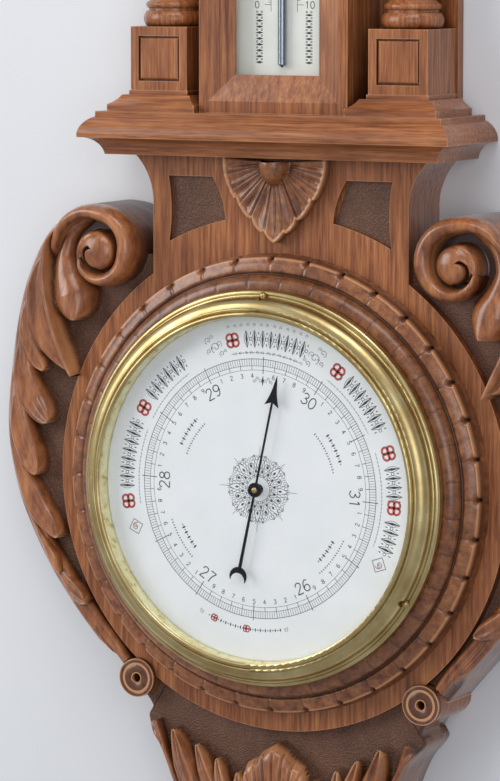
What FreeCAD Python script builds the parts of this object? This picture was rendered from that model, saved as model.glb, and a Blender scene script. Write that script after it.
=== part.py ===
import FreeCAD, Part
import math
import os

# Carved wall barometer. Sizes are in millimetres.
# Parts are drawn with X to the right, Y into the wall and Z up from the middle of the dial face.
# On saving, each part moves so that the hole of the hanging plate on the wall is the origin.

# Depths behind the dial face
wall = 66.0
band_front = 25.0
ground_front = 32.0
ring_front = 5.2
backboard_front = 59.3

# Heights above the dial centre
hanging_height = 560.0
cornice_bottom = 189.0
cornice_top = 214.0
column_foot = 263.0
entablature_bottom = 398.0
pediment_bottom = 442.0
pediment_top = 500.0
crest_top = 552.0
lower_carving_bottom = -252.0
pendant_depth = 46.0

# Wooden case
band_radius = 145.0
neck_half_width = 82.6
neck_top_half_width = 95.0
panel_depth = 3.0
shell_thickness = 7.0
panel_arc_radius = 156.0
panel_top = 176.7
roundel_x = 93.1
roundel_z = -121.3
side_carving_bottom = roundel_z
roundel_radius = 11.5
roundel_hole = 2.8
roundel_rise = 3.5
ring_inner_row = 123.0
ring_outer_radius = 132.0
gadroon_count = 36
gadroon_groove = 1.2
leaf_depth = 31.0
blunt_leaf_end = 0.8
volute_x = 114.7
volute_z = 132.6
volute_front = 17.0
volute_radius = 25.0
volute_roll = 4.2
button_radius = 11.0
button_rise = 4.5
shelf_half_width = 107.0
shelf_front = 10.5
pillar_x = 77.0
pedestal_half_width = 18.5
pedestal_front = 21.7
pedestal_base_height = 12.0
column_radius = 14.0
column_foot_radius = 18.0
column_depth = backboard_front - column_foot_radius - 0.3
upper_half_width = 97.0

# Thermometer
box_half_width = 47.7
box_front = 17.0
box_head = 18.0
box_frame_depth = 7.0
box_opening_half_width = 27.0
box_foot = 236.0
pane_thickness = 1.8
scale_thickness = 2.5
scale_front = 31.5
scale_half_width = 32.6
tube_radius = 2.5
tube_bore = 0.9
tube_depth = 28.9
tube_bottom = 240.0
tube_top = 372.0

# Dial, bezel and drum
bezel_inner_radius = 100.0
bezel_width = 14.8
dial_margin = 3.2
dial_thickness = 1.0
dial_hole = 3.0
bezel_front = -11.2
glass_front = -9.2
glass_thickness = 2.2
sight_wall = 2.4
drum_wall = 1.4
drum_back = 60.0
drum_flange = 1.2
drum_clearance = 1.9
bezel_screw_inset = 3.3
bezel_seat = 9.4
bezel_screw_radius = 1.2
bezel_screw_head = 2.4
bezel_screw_length = 14.0
bezel_screw_angles = (2.0, 122.0, 240.0)

# Movement
plate_radius = 62.0
plate_thickness = 2.5
plate_screw_angles = (45.0, 165.0, 300.0)
bridge_front = 11.0
bridge_thickness = 2.0
bridge_half_length = 36.0
bridge_half_width = 13.0
pillar_radius = 3.0
arbor_radius = 0.75
arbor_back = 32.3
cock_front = 30.0
cock_thickness = 2.0
pulley_radius = 0.8
pulley_front = 18.0
pulley_width = 3.0
hairspring_depth = 26.0
hairspring_wire = 0.25
hairspring_pitch = 1.1
hairspring_turns = 4
collet_radius = 1.6
capsule_x = -12.0
capsule_radius = 30.0
capsule_thickness = 8.0
spring_height = 37.0
spring_thickness = 1.2
spring_half_width = 11.0
spring_root_x = -58.0
rocker_x = 38.0
rocker_depth = 33.0
rocker_shaft = 1.2
rocker_bracket_z = 17.0
short_arm = 10.5
lever_end_gap = 8.0
chain_radius = 0.2
adjuster_radius = 2.5
adjuster_offset = 10.5
running_gap = 0.05
touch_gap = 0.3

# Pointer
pointer_reading_angle = 12.2
pointer_length = 68.0
pointer_front = -4.6
pointer_thickness = 0.5
pointer_tail = 52.0
hub_radius = 4.2

# Hanging plate
hanging_hole = 3.5
hanging_plate_thickness = 1.6
hanging_plate_half_width = 12.0
hanging_plate_lap = 54.0

# Sizes that follow from those above
dial_radius = bezel_inner_radius + dial_margin
bezel_outer_radius = bezel_inner_radius + bezel_width
bezel_screw_circle = bezel_outer_radius - bezel_screw_inset
box_top = tube_top + box_head
adjuster_x = spring_root_x + adjuster_offset
hanging_plate_bottom = crest_top - hanging_plate_lap
drum_radius = dial_radius + 0.4
bore_radius = drum_radius + drum_clearance
glass_radius = dial_radius + 0.3
bezel_seat_radius = glass_radius + 0.3
plate_back = drum_back - drum_wall
plate_front = plate_back - plate_thickness
pediment_back = wall - hanging_plate_thickness
hairspring_start = collet_radius + hairspring_wire + 0.1
hairspring_end = hairspring_start + hairspring_pitch * hairspring_turns + hairspring_wire + 0.1

Vec = FreeCAD.Vector
place = Vec(0, -wall, -hanging_height)
os.makedirs("parts", exist_ok=True)


def save(node, *solids):
    """Write one node, moved to the hanging hole."""
    shape = solids[0] if len(solids) == 1 else Part.makeCompound(list(solids))
    shape = shape.copy()
    shape.translate(place)
    shape.exportStep("parts/" + node + ".step")


def wire(points, to_space):
    """Closed outline. A third value marks the middle point of an arc to the next point."""
    corners = [to_space(point[0], point[1]) for point in points]
    count = len(points)
    edges = []
    index = 0
    while index < count:
        following = (index + 1) % count
        if len(points[following]) == 3:
            end = (index + 2) % count
            edges.append(Part.Arc(corners[index], corners[following], corners[end]).toShape())
            index += 2
        else:
            edges.append(Part.makeLine(corners[index], corners[following]))
            index += 1
    return Part.Wire(edges)


def slab(points, front, back):
    """Outline in X and Z carried from the front depth to the back depth."""
    face = Part.Face(wire(points, lambda x, z: Vec(x, front, z)))
    return face.extrude(Vec(0, back - front, 0))


def curved_slab(points, closing, front, back):
    """Board whose edge is a smooth curve through points, closed by straight lines."""
    curve = Part.BSplineCurve()
    curve.interpolate([Vec(x, front, z) for x, z in points])
    corners = [points[-1]] + list(closing) + [points[0]]
    edges = [curve.toShape()]
    for start, end in zip(corners, corners[1:]):
        edges.append(Part.makeLine(Vec(start[0], front, start[1]), Vec(end[0], front, end[1])))
    return Part.Face(Part.Wire(edges)).extrude(Vec(0, back - front, 0))


def spun(points, x=0.0, z=0.0):
    """Outline of radius and depth turned round an axis that runs into the wall."""
    face = Part.Face(wire(points, lambda r, y: Vec(x + r, y, z)))
    return face.revolve(Vec(x, 0, z), Vec(0, 1, 0), 360)


def turned(points, x, y):
    """Outline of radius and height turned round an upright axis."""
    face = Part.Face(wire(points, lambda r, z: Vec(x + r, y, z)))
    return face.revolve(Vec(x, y, 0), Vec(0, 0, 1), 360)


def disc(radius, front, back, x=0.0, z=0.0):
    return Part.makeCylinder(radius, back - front, Vec(x, front, z), Vec(0, 1, 0))


def box(x0, x1, y0, y1, z0, z1):
    return Part.makeBox(x1 - x0, y1 - y0, z1 - z0, Vec(x0, y0, z0))


def mirrored(shape):
    return shape.mirror(Vec(0, 0, 0), Vec(1, 0, 0))


def joined(solids):
    return solids[0].fuse(solids[1:]).removeSplitter()


def clock(angle, radius):
    """Point on the dial, with the angle clockwise from the top in degrees."""
    turn = math.radians(angle)
    return radius * math.sin(turn), radius * math.cos(turn)


def moulded_block(profile, half_width, front, back, middle=0.0):
    """Moulding on a front and two mitred returns; the profile is projection and height."""
    deep = [(front - point[0],) + tuple(point[1:]) for point in profile]
    deep += [(back, profile[-1][1]), (back, profile[0][1])]
    reach = half_width * 2.0
    face = Part.Face(wire(deep, lambda y, z: Vec(-reach, y, z)))
    front_run = face.extrude(Vec(2.0 * reach, 0, 0))
    right = [(half_width + point[0],) + tuple(point[1:]) for point in profile]
    left = [(-half_width - point[0],) + tuple(point[1:]) for point in reversed(profile)]
    sides = slab(right + left, front - half_width, back)
    block = front_run.common(sides)
    block.translate(Vec(middle, 0, 0))
    return block


def lobe(root, tip, half_width, depth=leaf_depth):
    """Carved leaf: a bowed curve turned round its own length, with small blunt ends."""
    start = Vec(root[0], depth, root[1])
    end = Vec(tip[0], depth, tip[1])
    blunt = Vec(0, -blunt_leaf_end, 0)
    crown = (start + end) * 0.5 + Vec(0, blunt_leaf_end - 2.0 * half_width, 0)
    bow = Part.BezierCurve()
    bow.setPoles([start + blunt, crown, end + blunt])
    rim = [bow.toShape(), Part.makeLine(end + blunt, end), Part.makeLine(end, start),
           Part.makeLine(start, start + blunt)]
    return Part.Face(Part.Wire(rim)).revolve(start, end - start, 360)


def dome(radius, rise, base, x=0.0, z=0.0):
    """Button with a round front, part of a ball, that stands on the plane at the base depth."""
    ball = (radius ** 2 + rise ** 2) / (2.0 * rise)
    half_turn = math.asin(radius / ball) * 0.5
    shoulder = (ball * math.sin(half_turn), base - rise + ball * (1.0 - math.cos(half_turn)), "arc")
    return spun([(0, base), (0, base - rise), shoulder, (radius, base)], x, z)


# Wooden case

def core_outline():
    """Solid board of the round band, neck and roundel bosses, without its bore."""
    neck_side = [(neck_half_width, 100), (neck_half_width, 158), (neck_half_width + 3.5, 177, "arc"),
                 (neck_top_half_width, cornice_bottom)]
    other_side = [(-point[0],) + tuple(point[1:]) for point in reversed(neck_side)]
    neck = slab(neck_side + other_side, band_front, wall)
    bosses = [disc(roundel_radius, band_front - roundel_rise, wall, side * roundel_x, roundel_z)
              for side in (-1, 1)]
    return joined([disc(band_radius, band_front, wall), neck] + bosses)


def neck_panel():
    """Sunk panel beside the shell, with its lower edge parallel to the round band."""
    inner = 34.8
    outer = 72.0
    inner_z = math.sqrt(panel_arc_radius ** 2 - inner ** 2)
    outer_z = math.sqrt(panel_arc_radius ** 2 - outer ** 2)
    middle = (inner + outer) * 0.5
    middle_z = math.sqrt(panel_arc_radius ** 2 - middle ** 2)
    points = [(43.3, panel_top), (inner + 2.5, (panel_top + inner_z) * 0.5, "arc"), (inner, inner_z),
              (middle, middle_z, "arc"), (outer, outer_z),
              (outer - 1.5, (panel_top + outer_z) * 0.5, "arc"), (72.3, panel_top)]
    return slab(points, band_front - 1, band_front + panel_depth)


def case_body():
    body = core_outline()
    panel = neck_panel()
    holes = [disc(roundel_hole, band_front - 5, band_front + 8, side * roundel_x, roundel_z)
             for side in (-1, 1)]
    return body.cut([disc(bore_radius, 0, wall + 1), panel, mirrored(panel)] + holes)


def ring_moulding():
    """Turned ring cut round its edge into gadroons, each pair parted by a groove and a drilled eye."""
    crown = bezel_outer_radius + 1.0
    step = ring_inner_row
    rim = ring_outer_radius
    ring = spun([(bore_radius, ring_front), (crown, ring_front),
                 (step - 1.2, ring_front + 1.6, "arc"), (step, ring_front + 6.0),
                 (rim - 3.0, ring_front + 7.6, "arc"), (rim, ring_front + 11.5),
                 (rim, band_front - 2.0), (rim + 2.0, band_front), (bore_radius, band_front)])
    half = gadroon_groove
    front = ring_front + 3.0
    inner = step + 0.5
    groove = Part.Face(Part.makePolygon([Vec(-half, front, inner), Vec(half, front, inner),
                                         Vec(0, front + 4.4, inner), Vec(-half, front, inner)]))
    groove = groove.extrude(Vec(0, 7.0, rim - inner + 1.5))
    eye = disc(1.7, ring_front, band_front - 5, 0, rim)
    cutter = groove.fuse(eye)
    cutters = []
    for index in range(gadroon_count):
        tool = cutter.copy()
        tool.rotate(Vec(0, 0, 0), Vec(0, 1, 0), (index + 0.5) * 360.0 / gadroon_count)
        cutters.append(tool)
    screws = [disc(bezel_screw_radius, ring_front - 1, ring_front + bezel_screw_length,
                   *clock(angle, bezel_screw_circle)) for angle in bezel_screw_angles]
    return ring.cut(cutters + screws)


def volute():
    """Rolled end of the side carving with its spiral ridge and button, on the left."""
    roll = disc(volute_radius, volute_front, wall, -volute_x, volute_z)
    button = dome(button_radius, button_rise, volute_front, -volute_x, volute_z)
    edges = []
    outer = volute_radius - volute_roll
    step = 1.4
    centre = -volute_x
    here = centre + outer
    radius = outer
    side = 1.0
    for turn in range(2):
        radius = radius - step
        far = here - side * 2.0 * radius
        middle_x = (here + far) * 0.5
        edges.append(Part.Arc(Vec(here, volute_front, volute_z),
                              Vec(middle_x, volute_front, volute_z + side * radius),
                              Vec(far, volute_front, volute_z)).toShape())
        here = far
        side = -side
    path = Part.Wire(edges)
    circle = Part.makeCircle(volute_roll, Vec(centre + outer, volute_front, volute_z), Vec(0, 0, 1))
    ridge = path.makePipeShell([Part.Wire([circle])], True, False)
    tongue = lobe((-126, 134), (-121, 92), 9.0)
    return [roll, button, ridge, tongue]


def side_carving():
    """Left wing: stepped acanthus leaves from the volute down the edge of the case."""
    edge = [(-78, 130), (-92, 130), (-106, 138), (-122, 155), (-140, 153), (-155, 140), (-168, 116), (-176, 88),
            (-181, 55), (-183.5, 28), (-181, 5), (-174, -21), (-160, -50), (-147, -70), (-133, -88), (-114, -109),
            (-102, side_carving_bottom)]
    board = curved_slab(edge, [(-roundel_x, side_carving_bottom)], ground_front, wall)
    leaves = [lobe((-130, 152), (-178, 70), 12.0),
              lobe((-150, 128), (-131, 58.5), 12.0),
              lobe((-172, 88), (-149, 27), 12.0),
              lobe((-177, 48), (-157.5, -5), 10.5),
              lobe((-176, 12), (-142, -41), 10.5),
              lobe((-165, -28), (-143.5, -62), 9.5),
              lobe((-155, -52), (-126, -78), 9.0),
              lobe((-150, -70), (-108, -113), 9.0)]
    wing = joined([board] + leaves + volute())
    return wing.cut(core_outline()).cut(box(-200, 0, 0, wall + 1, -200, side_carving_bottom))


def lower_carving():
    """Spray of leaves under the dial round a central palmette."""
    edge = [(-102, side_carving_bottom), (-95, -130), (-88, -140), (-91, -147),
            (-80, -161), (-71, -182), (-63, -203), (-45, -226), (-22, -244), (0, lower_carving_bottom)]
    half = curved_slab(edge, [(0, side_carving_bottom)], ground_front, wall)
    leaves = [              lobe((-58, -196), (-95, -144), 10.0),
              lobe((-44, -214), (-70, -146), 11.0),
              lobe((-30, -206), (-53, -156), 8.0),
              lobe((-20, -214), (-39, -163), 7.0),
              lobe((-8, -226), (-17, -160), 7.5)]
    half = joined([half] + leaves)
    middle = lobe((0, -236), (0, -151.5), 10.0)
    whole = joined([half, mirrored(half), middle])
    whole = whole.cut(core_outline())
    return whole.cut(box(-200, 200, 0, wall + 1, side_carving_bottom, 0))


def pendant():
    """Turned bud hung under the leaf spray: neck, ring and ball."""
    top = lower_carving_bottom + 3.0
    ball = 9.0
    neck = turned([(0, top), (7.5, top), (8.5, top - 2.5, "arc"), (7.5, top - 5), (5, top - 5),
                   (5, top - 12), (0, top - 12)], 0, pendant_depth)
    bud = Part.makeSphere(ball, Vec(0, pendant_depth, top - 5 - ball))
    return joined([neck, bud]).cut(lower_carving())


def neck_shell():
    """Applied shell: a scalloped shield with flutes that fan out from a boss under the cornice."""
    top = cornice_bottom
    side = [(33, top), (33, top - 9), (30, top - 19), (27, top - 23), (20, top - 31), (15, top - 38),
            (8, top - 43)]
    shield = slab([(-x, z) for x, z in side] + [(0, top - 49.3)] + side[::-1],
                  band_front - shell_thickness, band_front)
    boss = Part.makeSphere(8.5, Vec(0, band_front - shell_thickness, top - 4.5))
    flutes = []
    for index in range(-5, 6):
        flute = Part.makeBox(1.6, 1.6, 60.0, Vec(-0.8, -0.8, 9.5))
        flute.rotate(Vec(0, 0, 0), Vec(0, 0, 1), 45)
        flute.rotate(Vec(0, 0, 0), Vec(0, 1, 0), 180.0 + index * 15.0)
        flute.translate(Vec(0, band_front - shell_thickness, top - 4.5))
        flutes.append(flute)
    shell = shield.cut(flutes).fuse(boss)
    return shell.common(box(-60, 60, 0, band_front, 100, top))


def cornice():
    profile = [(0, cornice_bottom), (3.5, cornice_bottom + 7, "arc"), (9.5, cornice_bottom + 10),
               (12, cornice_bottom + 10), (12, cornice_bottom + 12.5), (9.5, cornice_bottom + 18, "arc"),
               (4, cornice_top - 3), (4, cornice_top)]
    return moulded_block(profile, shelf_half_width, shelf_front, wall)


def pedestal_base():
    low = cornice_top
    high = cornice_top + pedestal_base_height
    profile = [(9.5, low), (9.5, low + 4), (5.5, low + 6.5, "arc"), (3, high - 2.5), (0, high - 2.5), (0, high)]
    return moulded_block(profile, pedestal_half_width + 0.8, pedestal_front - 0.8, backboard_front, -pillar_x)


def pedestal():
    low = cornice_top + pedestal_base_height
    body = box(-pillar_x - pedestal_half_width, -pillar_x + pedestal_half_width,
               pedestal_front, backboard_front, low, column_foot)
    inner = pedestal_half_width - 5.0
    panel = box(-pillar_x - inner, -pillar_x + inner, pedestal_front - 1, pedestal_front + 2.5,
                low + 5.5, column_foot - 5.5)
    return body.cut(panel)


def column():
    """Turned column: torus foot, reel, swelling shaft and a matching head."""
    low = column_foot
    high = entablature_bottom
    wide = column_foot_radius
    foot = [(0, low), (wide - 2, low), (wide, low + 4.5, "arc"), (wide - 2, low + 9), (15, low + 9),
            (15, low + 10.5), (16.5, low + 12.5, "arc"), (15, low + 14.5), (column_radius - 1, low + 16.5)]
    shaft = [(column_radius + 0.5, low + 50, "arc"), (column_radius - 2.5, high - 16)]
    head = [(13.5, high - 16), (15, high - 14, "arc"), (13.5, high - 12), (12.5, high - 12),
            (13.5, high - 7, "arc"), (17.5, high - 4), (17.5, high), (0, high)]
    return turned(foot + shaft + head, -pillar_x, column_depth)


def backboard():
    return box(-upper_half_width, upper_half_width, backboard_front, wall, cornice_top, pediment_bottom)


def entablature():
    low = entablature_bottom
    profile = [(0, low), (0, low + 6), (1.5, low + 6), (1.5, low + 20), (5, low + 24, "arc"),
               (9, low + 26), (9, low + 29), (7, low + 36, "arc"), (13, low + 40), (13, pediment_bottom)]
    return moulded_block(profile, upper_half_width, shelf_front + 8, backboard_front)


def pediment_scroll():
    """Left half of the broken pediment, rising in a swan neck to a rosette."""
    low = pediment_bottom
    high = pediment_top
    eye = (-37.0, high - 13.0)
    sweep = 68.0

    def bowl(angle, offset):
        turn = math.radians(angle)
        reach = sweep + offset
        return -108.0 + reach * math.sin(turn), low + 12.0 + sweep - reach * math.cos(turn)

    board = slab([(-104, low), bowl(3, 0), bowl(31, 0) + ("arc",), bowl(58, 0), eye,
                  (-24, high - 14), (-32, high - 32, "arc"), (-24, low)], ground_front, pediment_back)
    rail = slab([bowl(1, 5), bowl(30, 5) + ("arc",), bowl(58, 5), bowl(58, -5),
                 bowl(30, -5) + ("arc",), bowl(1, -5)], ground_front - 6, pediment_back - 3)
    roll = disc(13, ground_front - 8, pediment_back, *eye)
    button = dome(8, 4, ground_front - 8, *eye)
    return joined([board, rail, roll, button])


def crest():
    """Central block of the pediment with a standing shell on a shaped board."""
    low = pediment_bottom
    block = box(-16, 16, ground_front - 4, pediment_back, low, low + 60)
    base_z = low + 64
    board = slab([(-16, low + 60), (-13, low + 65, "arc"), (-22, low + 71), (-31, base_z + 22, "arc"),
                  (-18, crest_top - 9), (0, crest_top - 3, "arc"), (18, crest_top - 9),
                  (31, base_z + 22, "arc"), (22, low + 71), (13, low + 65, "arc"), (16, low + 60)],
                 ground_front + 5, pediment_back)
    lobes = []
    reach = crest_top - base_z
    for angle, share in ((0, 1.0), (20, 0.96), (42, 0.84), (66, 0.66)):
        for side in ((1,) if angle == 0 else (-1, 1)):
            turn = math.radians(side * angle)
            tip = (math.sin(turn) * reach * share, base_z + math.cos(turn) * reach * share)
            lobes.append(lobe((math.sin(turn) * 4, base_z + 4), tip, 9.0, ground_front + 6))
    return joined([block, board] + lobes).cut(hanging_screws())


# Thermometer

def thermometer_case():
    outer = box(-box_half_width, box_half_width, box_front + box_frame_depth, backboard_front,
                cornice_top, box_top)
    pane_edge = scale_half_width + 2.8
    pane_recess = box(-pane_edge, pane_edge, box_front, box_front + box_frame_depth + pane_thickness + 0.2,
                      box_foot - 6, box_top - 14)
    plate_edge = scale_half_width + 0.4
    plate_recess = box(-plate_edge, plate_edge, box_front, scale_front + scale_thickness,
                       box_foot - 2, box_top - 18)
    return outer.cut([pane_recess, plate_recess])


def thermometer_frame():
    """Front frame whose inner edge slopes back to the pane, mitred at the corners."""
    front = box_front
    back = box_front + box_frame_depth
    outer = box(-box_half_width, box_half_width, front, back, cornice_top, box_top)
    edge = box_half_width - 5.5
    low = box_foot
    high = box_top - 21.0
    inner = box_opening_half_width
    rise = edge - inner
    mouth = Part.makePolygon([Vec(-edge, front, low - rise), Vec(edge, front, low - rise),
                              Vec(edge, front, high + rise), Vec(-edge, front, high + rise),
                              Vec(-edge, front, low - rise)])
    throat = Part.makePolygon([Vec(-inner, back - 1.5, low), Vec(inner, back - 1.5, low),
                               Vec(inner, back - 1.5, high), Vec(-inner, back - 1.5, high),
                               Vec(-inner, back - 1.5, low)])
    slope = Part.makeLoft([mouth, throat], True, True)
    return outer.cut([slope, box(-inner, inner, front, back + 1, low, high)])


def thermometer_pane():
    front = box_front + box_frame_depth
    edge = scale_half_width + 2.4
    return box(-edge, edge, front, front + pane_thickness, box_foot - 5.6, box_top - 14.4)


def scale_plate():
    return box(-scale_half_width, scale_half_width, scale_front, scale_front + scale_thickness,
               box_foot - 1.6, box_top - 18.4)


def thermometer_tube():
    outline = [(0, tube_bottom), (tube_radius, tube_bottom + 2), (tube_radius, tube_top - 2), (0, tube_top)]
    return turned(outline, 0, tube_depth).cut(mercury())


def mercury():
    column_top = tube_bottom + 78.0
    return Part.makeCylinder(tube_bore, column_top - tube_bottom - 3, Vec(0, tube_depth, tube_bottom + 3))


def tube_clip(z):
    """Thin brass strap over the tube, flat on the scale plate at both ends."""
    outer = Part.makeCylinder(tube_radius + 0.35, 4, Vec(0, tube_depth, z))
    foot = box(-7, 7, scale_front - 0.4, scale_front, z, z + 4)
    reach = tube_radius + 0.35
    strap = joined([outer, foot, box(-reach, reach, tube_depth, scale_front, z, z + 4)])
    bore = Part.makeCylinder(tube_radius + 0.02, 10, Vec(0, tube_depth, z - 3))
    return strap.cut([bore, box(-10, 10, scale_front, scale_front + 3, z - 1, z + 5)])


# Dial and its case

def bezel():
    """Cast brass bezel: lip, bead, broad roll, cove and rounded rim."""
    lip = bezel_inner_radius
    rim = bezel_outer_radius
    points = [(bezel_seat_radius, glass_front), (lip, glass_front), (lip, bezel_front + 0.6),
              (lip + 1.3, bezel_front, "arc"), (lip + 2.6, bezel_front + 0.8), (lip + 3.1, bezel_front + 1.9),
              (lip + 4.1, bezel_front + 1.2, "arc"), (lip + 5.0, bezel_front + 2.1),
              (lip + 8.6, bezel_front + 3.7, "arc"), (rim - 3.9, bezel_front + 8.6),
              (rim - 3.3, bezel_front + 10.4, "arc"), (rim - 2.2, bezel_front + 10.0),
              (rim - 0.4, bezel_front + 10.9, "arc"), (rim, bezel_front + 12.6),
              (rim, ring_front - drum_flange), (bezel_seat_radius, ring_front - drum_flange)]
    ring = spun(points)
    holes = [disc(bezel_screw_radius, bezel_front, ring_front, *clock(angle, bezel_screw_circle))
             for angle in bezel_screw_angles]
    seats = [disc(bezel_screw_head, bezel_front, bezel_front + bezel_seat, *clock(angle, bezel_screw_circle))
             for angle in bezel_screw_angles]
    return ring.cut(holes + seats)


def bezel_screws():
    screws = []
    for angle in bezel_screw_angles:
        x, z = clock(angle, bezel_screw_circle)
        base = bezel_front + bezel_seat
        head = dome(bezel_screw_head - 0.15, 2.0, base, x, z)
        slot = box(-5, 5, base - 4, base - 1.2, -0.35, 0.35)
        slot.rotate(Vec(0, 0, 0), Vec(0, 1, 0), angle)
        slot.translate(Vec(x, 0, z))
        shank = disc(bezel_screw_radius, base, ring_front + bezel_screw_length - 1, x, z)
        screws.append(joined([head, shank]).cut(slot))
    return screws


def bezel_glass():
    bevel = 2.0
    front = glass_front
    back = glass_front + glass_thickness
    return spun([(0, front), (glass_radius - bevel, front), (glass_radius, front + 0.8),
                 (glass_radius, back), (0, back)])


def sight_ring():
    outer = dial_radius
    inner = outer - sight_wall
    return spun([(inner, glass_front + glass_thickness), (outer, glass_front + glass_thickness),
                 (outer, 0), (inner + 0.8, 0)])


def dial_plate():
    return disc(dial_radius, 0, dial_thickness).cut(disc(dial_hole, -1, dial_thickness + 1))


def drum():
    """Spun brass drum with a flange held under the bezel and an opening for the adjuster."""
    flange_front = ring_front - drum_flange
    points = [(drum_radius - drum_wall, dial_thickness), (drum_radius, dial_thickness),
              (drum_radius, flange_front), (bezel_outer_radius - 1.0, flange_front),
              (bezel_outer_radius - 1.0, ring_front), (drum_radius, ring_front),
              (drum_radius, drum_back - 4), (drum_radius - 1.2, drum_back - 1.2, "arc"),
              (drum_radius - 4, drum_back), (0, drum_back), (0, drum_back - drum_wall),
              (drum_radius - 4, drum_back - drum_wall),
              (drum_radius - drum_wall - 0.8, drum_back - drum_wall - 0.8, "arc"),
              (drum_radius - drum_wall, drum_back - 4)]
    shell = spun(points)
    holes = [disc(bezel_screw_radius, 0, ring_front + 1, *clock(angle, bezel_screw_circle))
             for angle in bezel_screw_angles]
    opening = disc(adjuster_radius + 2.5, 40, drum_back + 1, adjuster_x, 0)
    screws = [disc(1.5, 40, drum_back + 1, *clock(angle, plate_radius - 7)) for angle in plate_screw_angles]
    return shell.cut(holes + screws + [opening])


# Movement inside the drum

def base_plate():
    plate = disc(plate_radius, plate_front, plate_back)
    holes = [disc(1.5, plate_front - 1, plate_back + 1, *clock(angle, plate_radius - 7))
             for angle in plate_screw_angles]
    thread = disc(adjuster_radius + running_gap, plate_front - 1, plate_back + 1, adjuster_x, 0)
    return plate.cut(holes + [thread])


def plate_screws():
    screws = []
    for angle in plate_screw_angles:
        x, z = clock(angle, plate_radius - 7)
        head = dome(3.0, 1.8, plate_front, x, z)
        screws.append(joined([head, disc(1.5, plate_front, drum_back, x, z)]))
    return screws


def capsule():
    """Vacuum capsule: two corrugated discs joined at a flat rim."""
    back = plate_front
    half = capsule_thickness * 0.5
    front = back - capsule_thickness
    waves = 4
    width = (capsule_radius - 8.0) / waves
    wave = front + 1.2
    points = [(0, back - half), (0, front), (6, front), (6, wave)]
    for index in range(waves):
        start = 6 + index * width
        bulge = 0.9 if index % 2 == 0 else -0.9
        points.append((start + width * 0.5, wave + bulge, "arc"))
        points.append((start + width, wave))
    points += [(capsule_radius - 1.0, back - half - 0.6), (capsule_radius, back - half - 0.6),
               (capsule_radius, back - half)]
    upper = spun(points, capsule_x, 0)
    lower = upper.mirror(Vec(0, back - half, 0), Vec(0, 1, 0))
    return joined([upper, lower])


def capsule_stud():
    """Stud and knife block that hang the capsule from the main spring."""
    top = spring_height + spring_thickness
    stud = disc(3.0, top, plate_front - capsule_thickness, capsule_x, 0)
    return stud


def main_spring():
    """Bent leaf spring: a foot on the base plate, a round back and a blade over the capsule."""
    t = spring_thickness
    root = spring_root_x
    end = capsule_x + 8.0
    front = spring_height
    back = plate_front
    points = [(root + 6, back), (root + 15, back), (root + 15, back - t), (root + 6, back - t),
              (root + t, (front + back) * 0.5, "arc"), (root + 6, front + t), (end, front + t), (end, front),
              (root + 6, front), (root, (front + back) * 0.5, "arc")]
    face = Part.Face(wire(points, lambda x, y: Vec(x, y, -spring_half_width)))
    blade = face.extrude(Vec(0, 0, 2.0 * spring_half_width))
    bore = disc(adjuster_radius + 1.0, back - t - 1, back + 1, adjuster_x, 0)
    return blade.cut(bore)


def main_lever():
    """Tapered arm that lies over the spring and carries the pressure out to the link."""
    back = spring_height - touch_gap
    front = back - 1.6
    start = spring_root_x + 8.0
    end = rocker_x - lever_end_gap
    points = [(start, -6), (end - 4, -2.2), (end, 0, "arc"), (end - 4, 2.2), (start, 6)]
    arm = slab(points, front, back)
    return arm.cut(disc(0.8, front - 1, back + 1, end - 6, 0))


def rocking_bar():
    """Shaft in two brackets with a short arm to the lever and a long arm to the chain."""
    reach = rocker_bracket_z + 3.0
    shaft = Part.makeCylinder(rocker_shaft, 2.0 * reach, Vec(rocker_x, rocker_depth, -reach))
    collar = Part.makeCylinder(2.6, 8.0, Vec(rocker_x, rocker_depth, -4.0))
    long_arm = box(rocker_x - 0.9, rocker_x + 0.9, pulley_front + 0.5, rocker_depth, -1.2, 1.2)
    lever_arm = box(rocker_x - short_arm, rocker_x, rocker_depth - 0.8, rocker_depth + 0.8, -1.5, 1.5)
    balance = box(rocker_x, rocker_x + 9, rocker_depth - 1.5, rocker_depth + 1.5, -3, 3)
    return joined([shaft, collar, long_arm, lever_arm, balance])


def rocking_brackets():
    """Two angle brackets on the base plate that carry the ends of the rocking bar."""
    brackets = []
    for side in (-1, 1):
        z = side * rocker_bracket_z
        leg = slab([(rocker_x - 4, z - 1), (rocker_x + 4, z - 1), (rocker_x + 4, z + 1), (rocker_x - 4, z + 1)],
                   rocker_depth - 4, plate_front)
        foot_z = z + side * 4.0
        foot = slab([(rocker_x - 4, foot_z - 4), (rocker_x + 4, foot_z - 4), (rocker_x + 4, foot_z + 4),
                     (rocker_x - 4, foot_z + 4)], plate_front - 2, plate_front)
        bore = Part.makeCylinder(rocker_shaft + running_gap, 8, Vec(rocker_x, rocker_depth, z - 4))
        brackets.append(joined([leg, foot]).cut(bore))
    return brackets


def link():
    """Short rod from the lever's end to the short arm of the rocking bar."""
    x = rocker_x - short_arm - 0.5
    low = rocker_depth + 0.8 + touch_gap
    return disc(0.6, low, spring_height - touch_gap - 1.6, x, 0)


def chain():
    """Fine chain from the long arm to the underside of the pulley, as one fused run."""
    depth = pulley_front + pulley_width * 0.5
    below = -(pulley_radius + running_gap + chain_radius)
    end = rocker_x - 0.9 - 0.1
    return Part.makeCylinder(chain_radius, end, Vec(0, depth, below), Vec(1, 0, 0))


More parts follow.
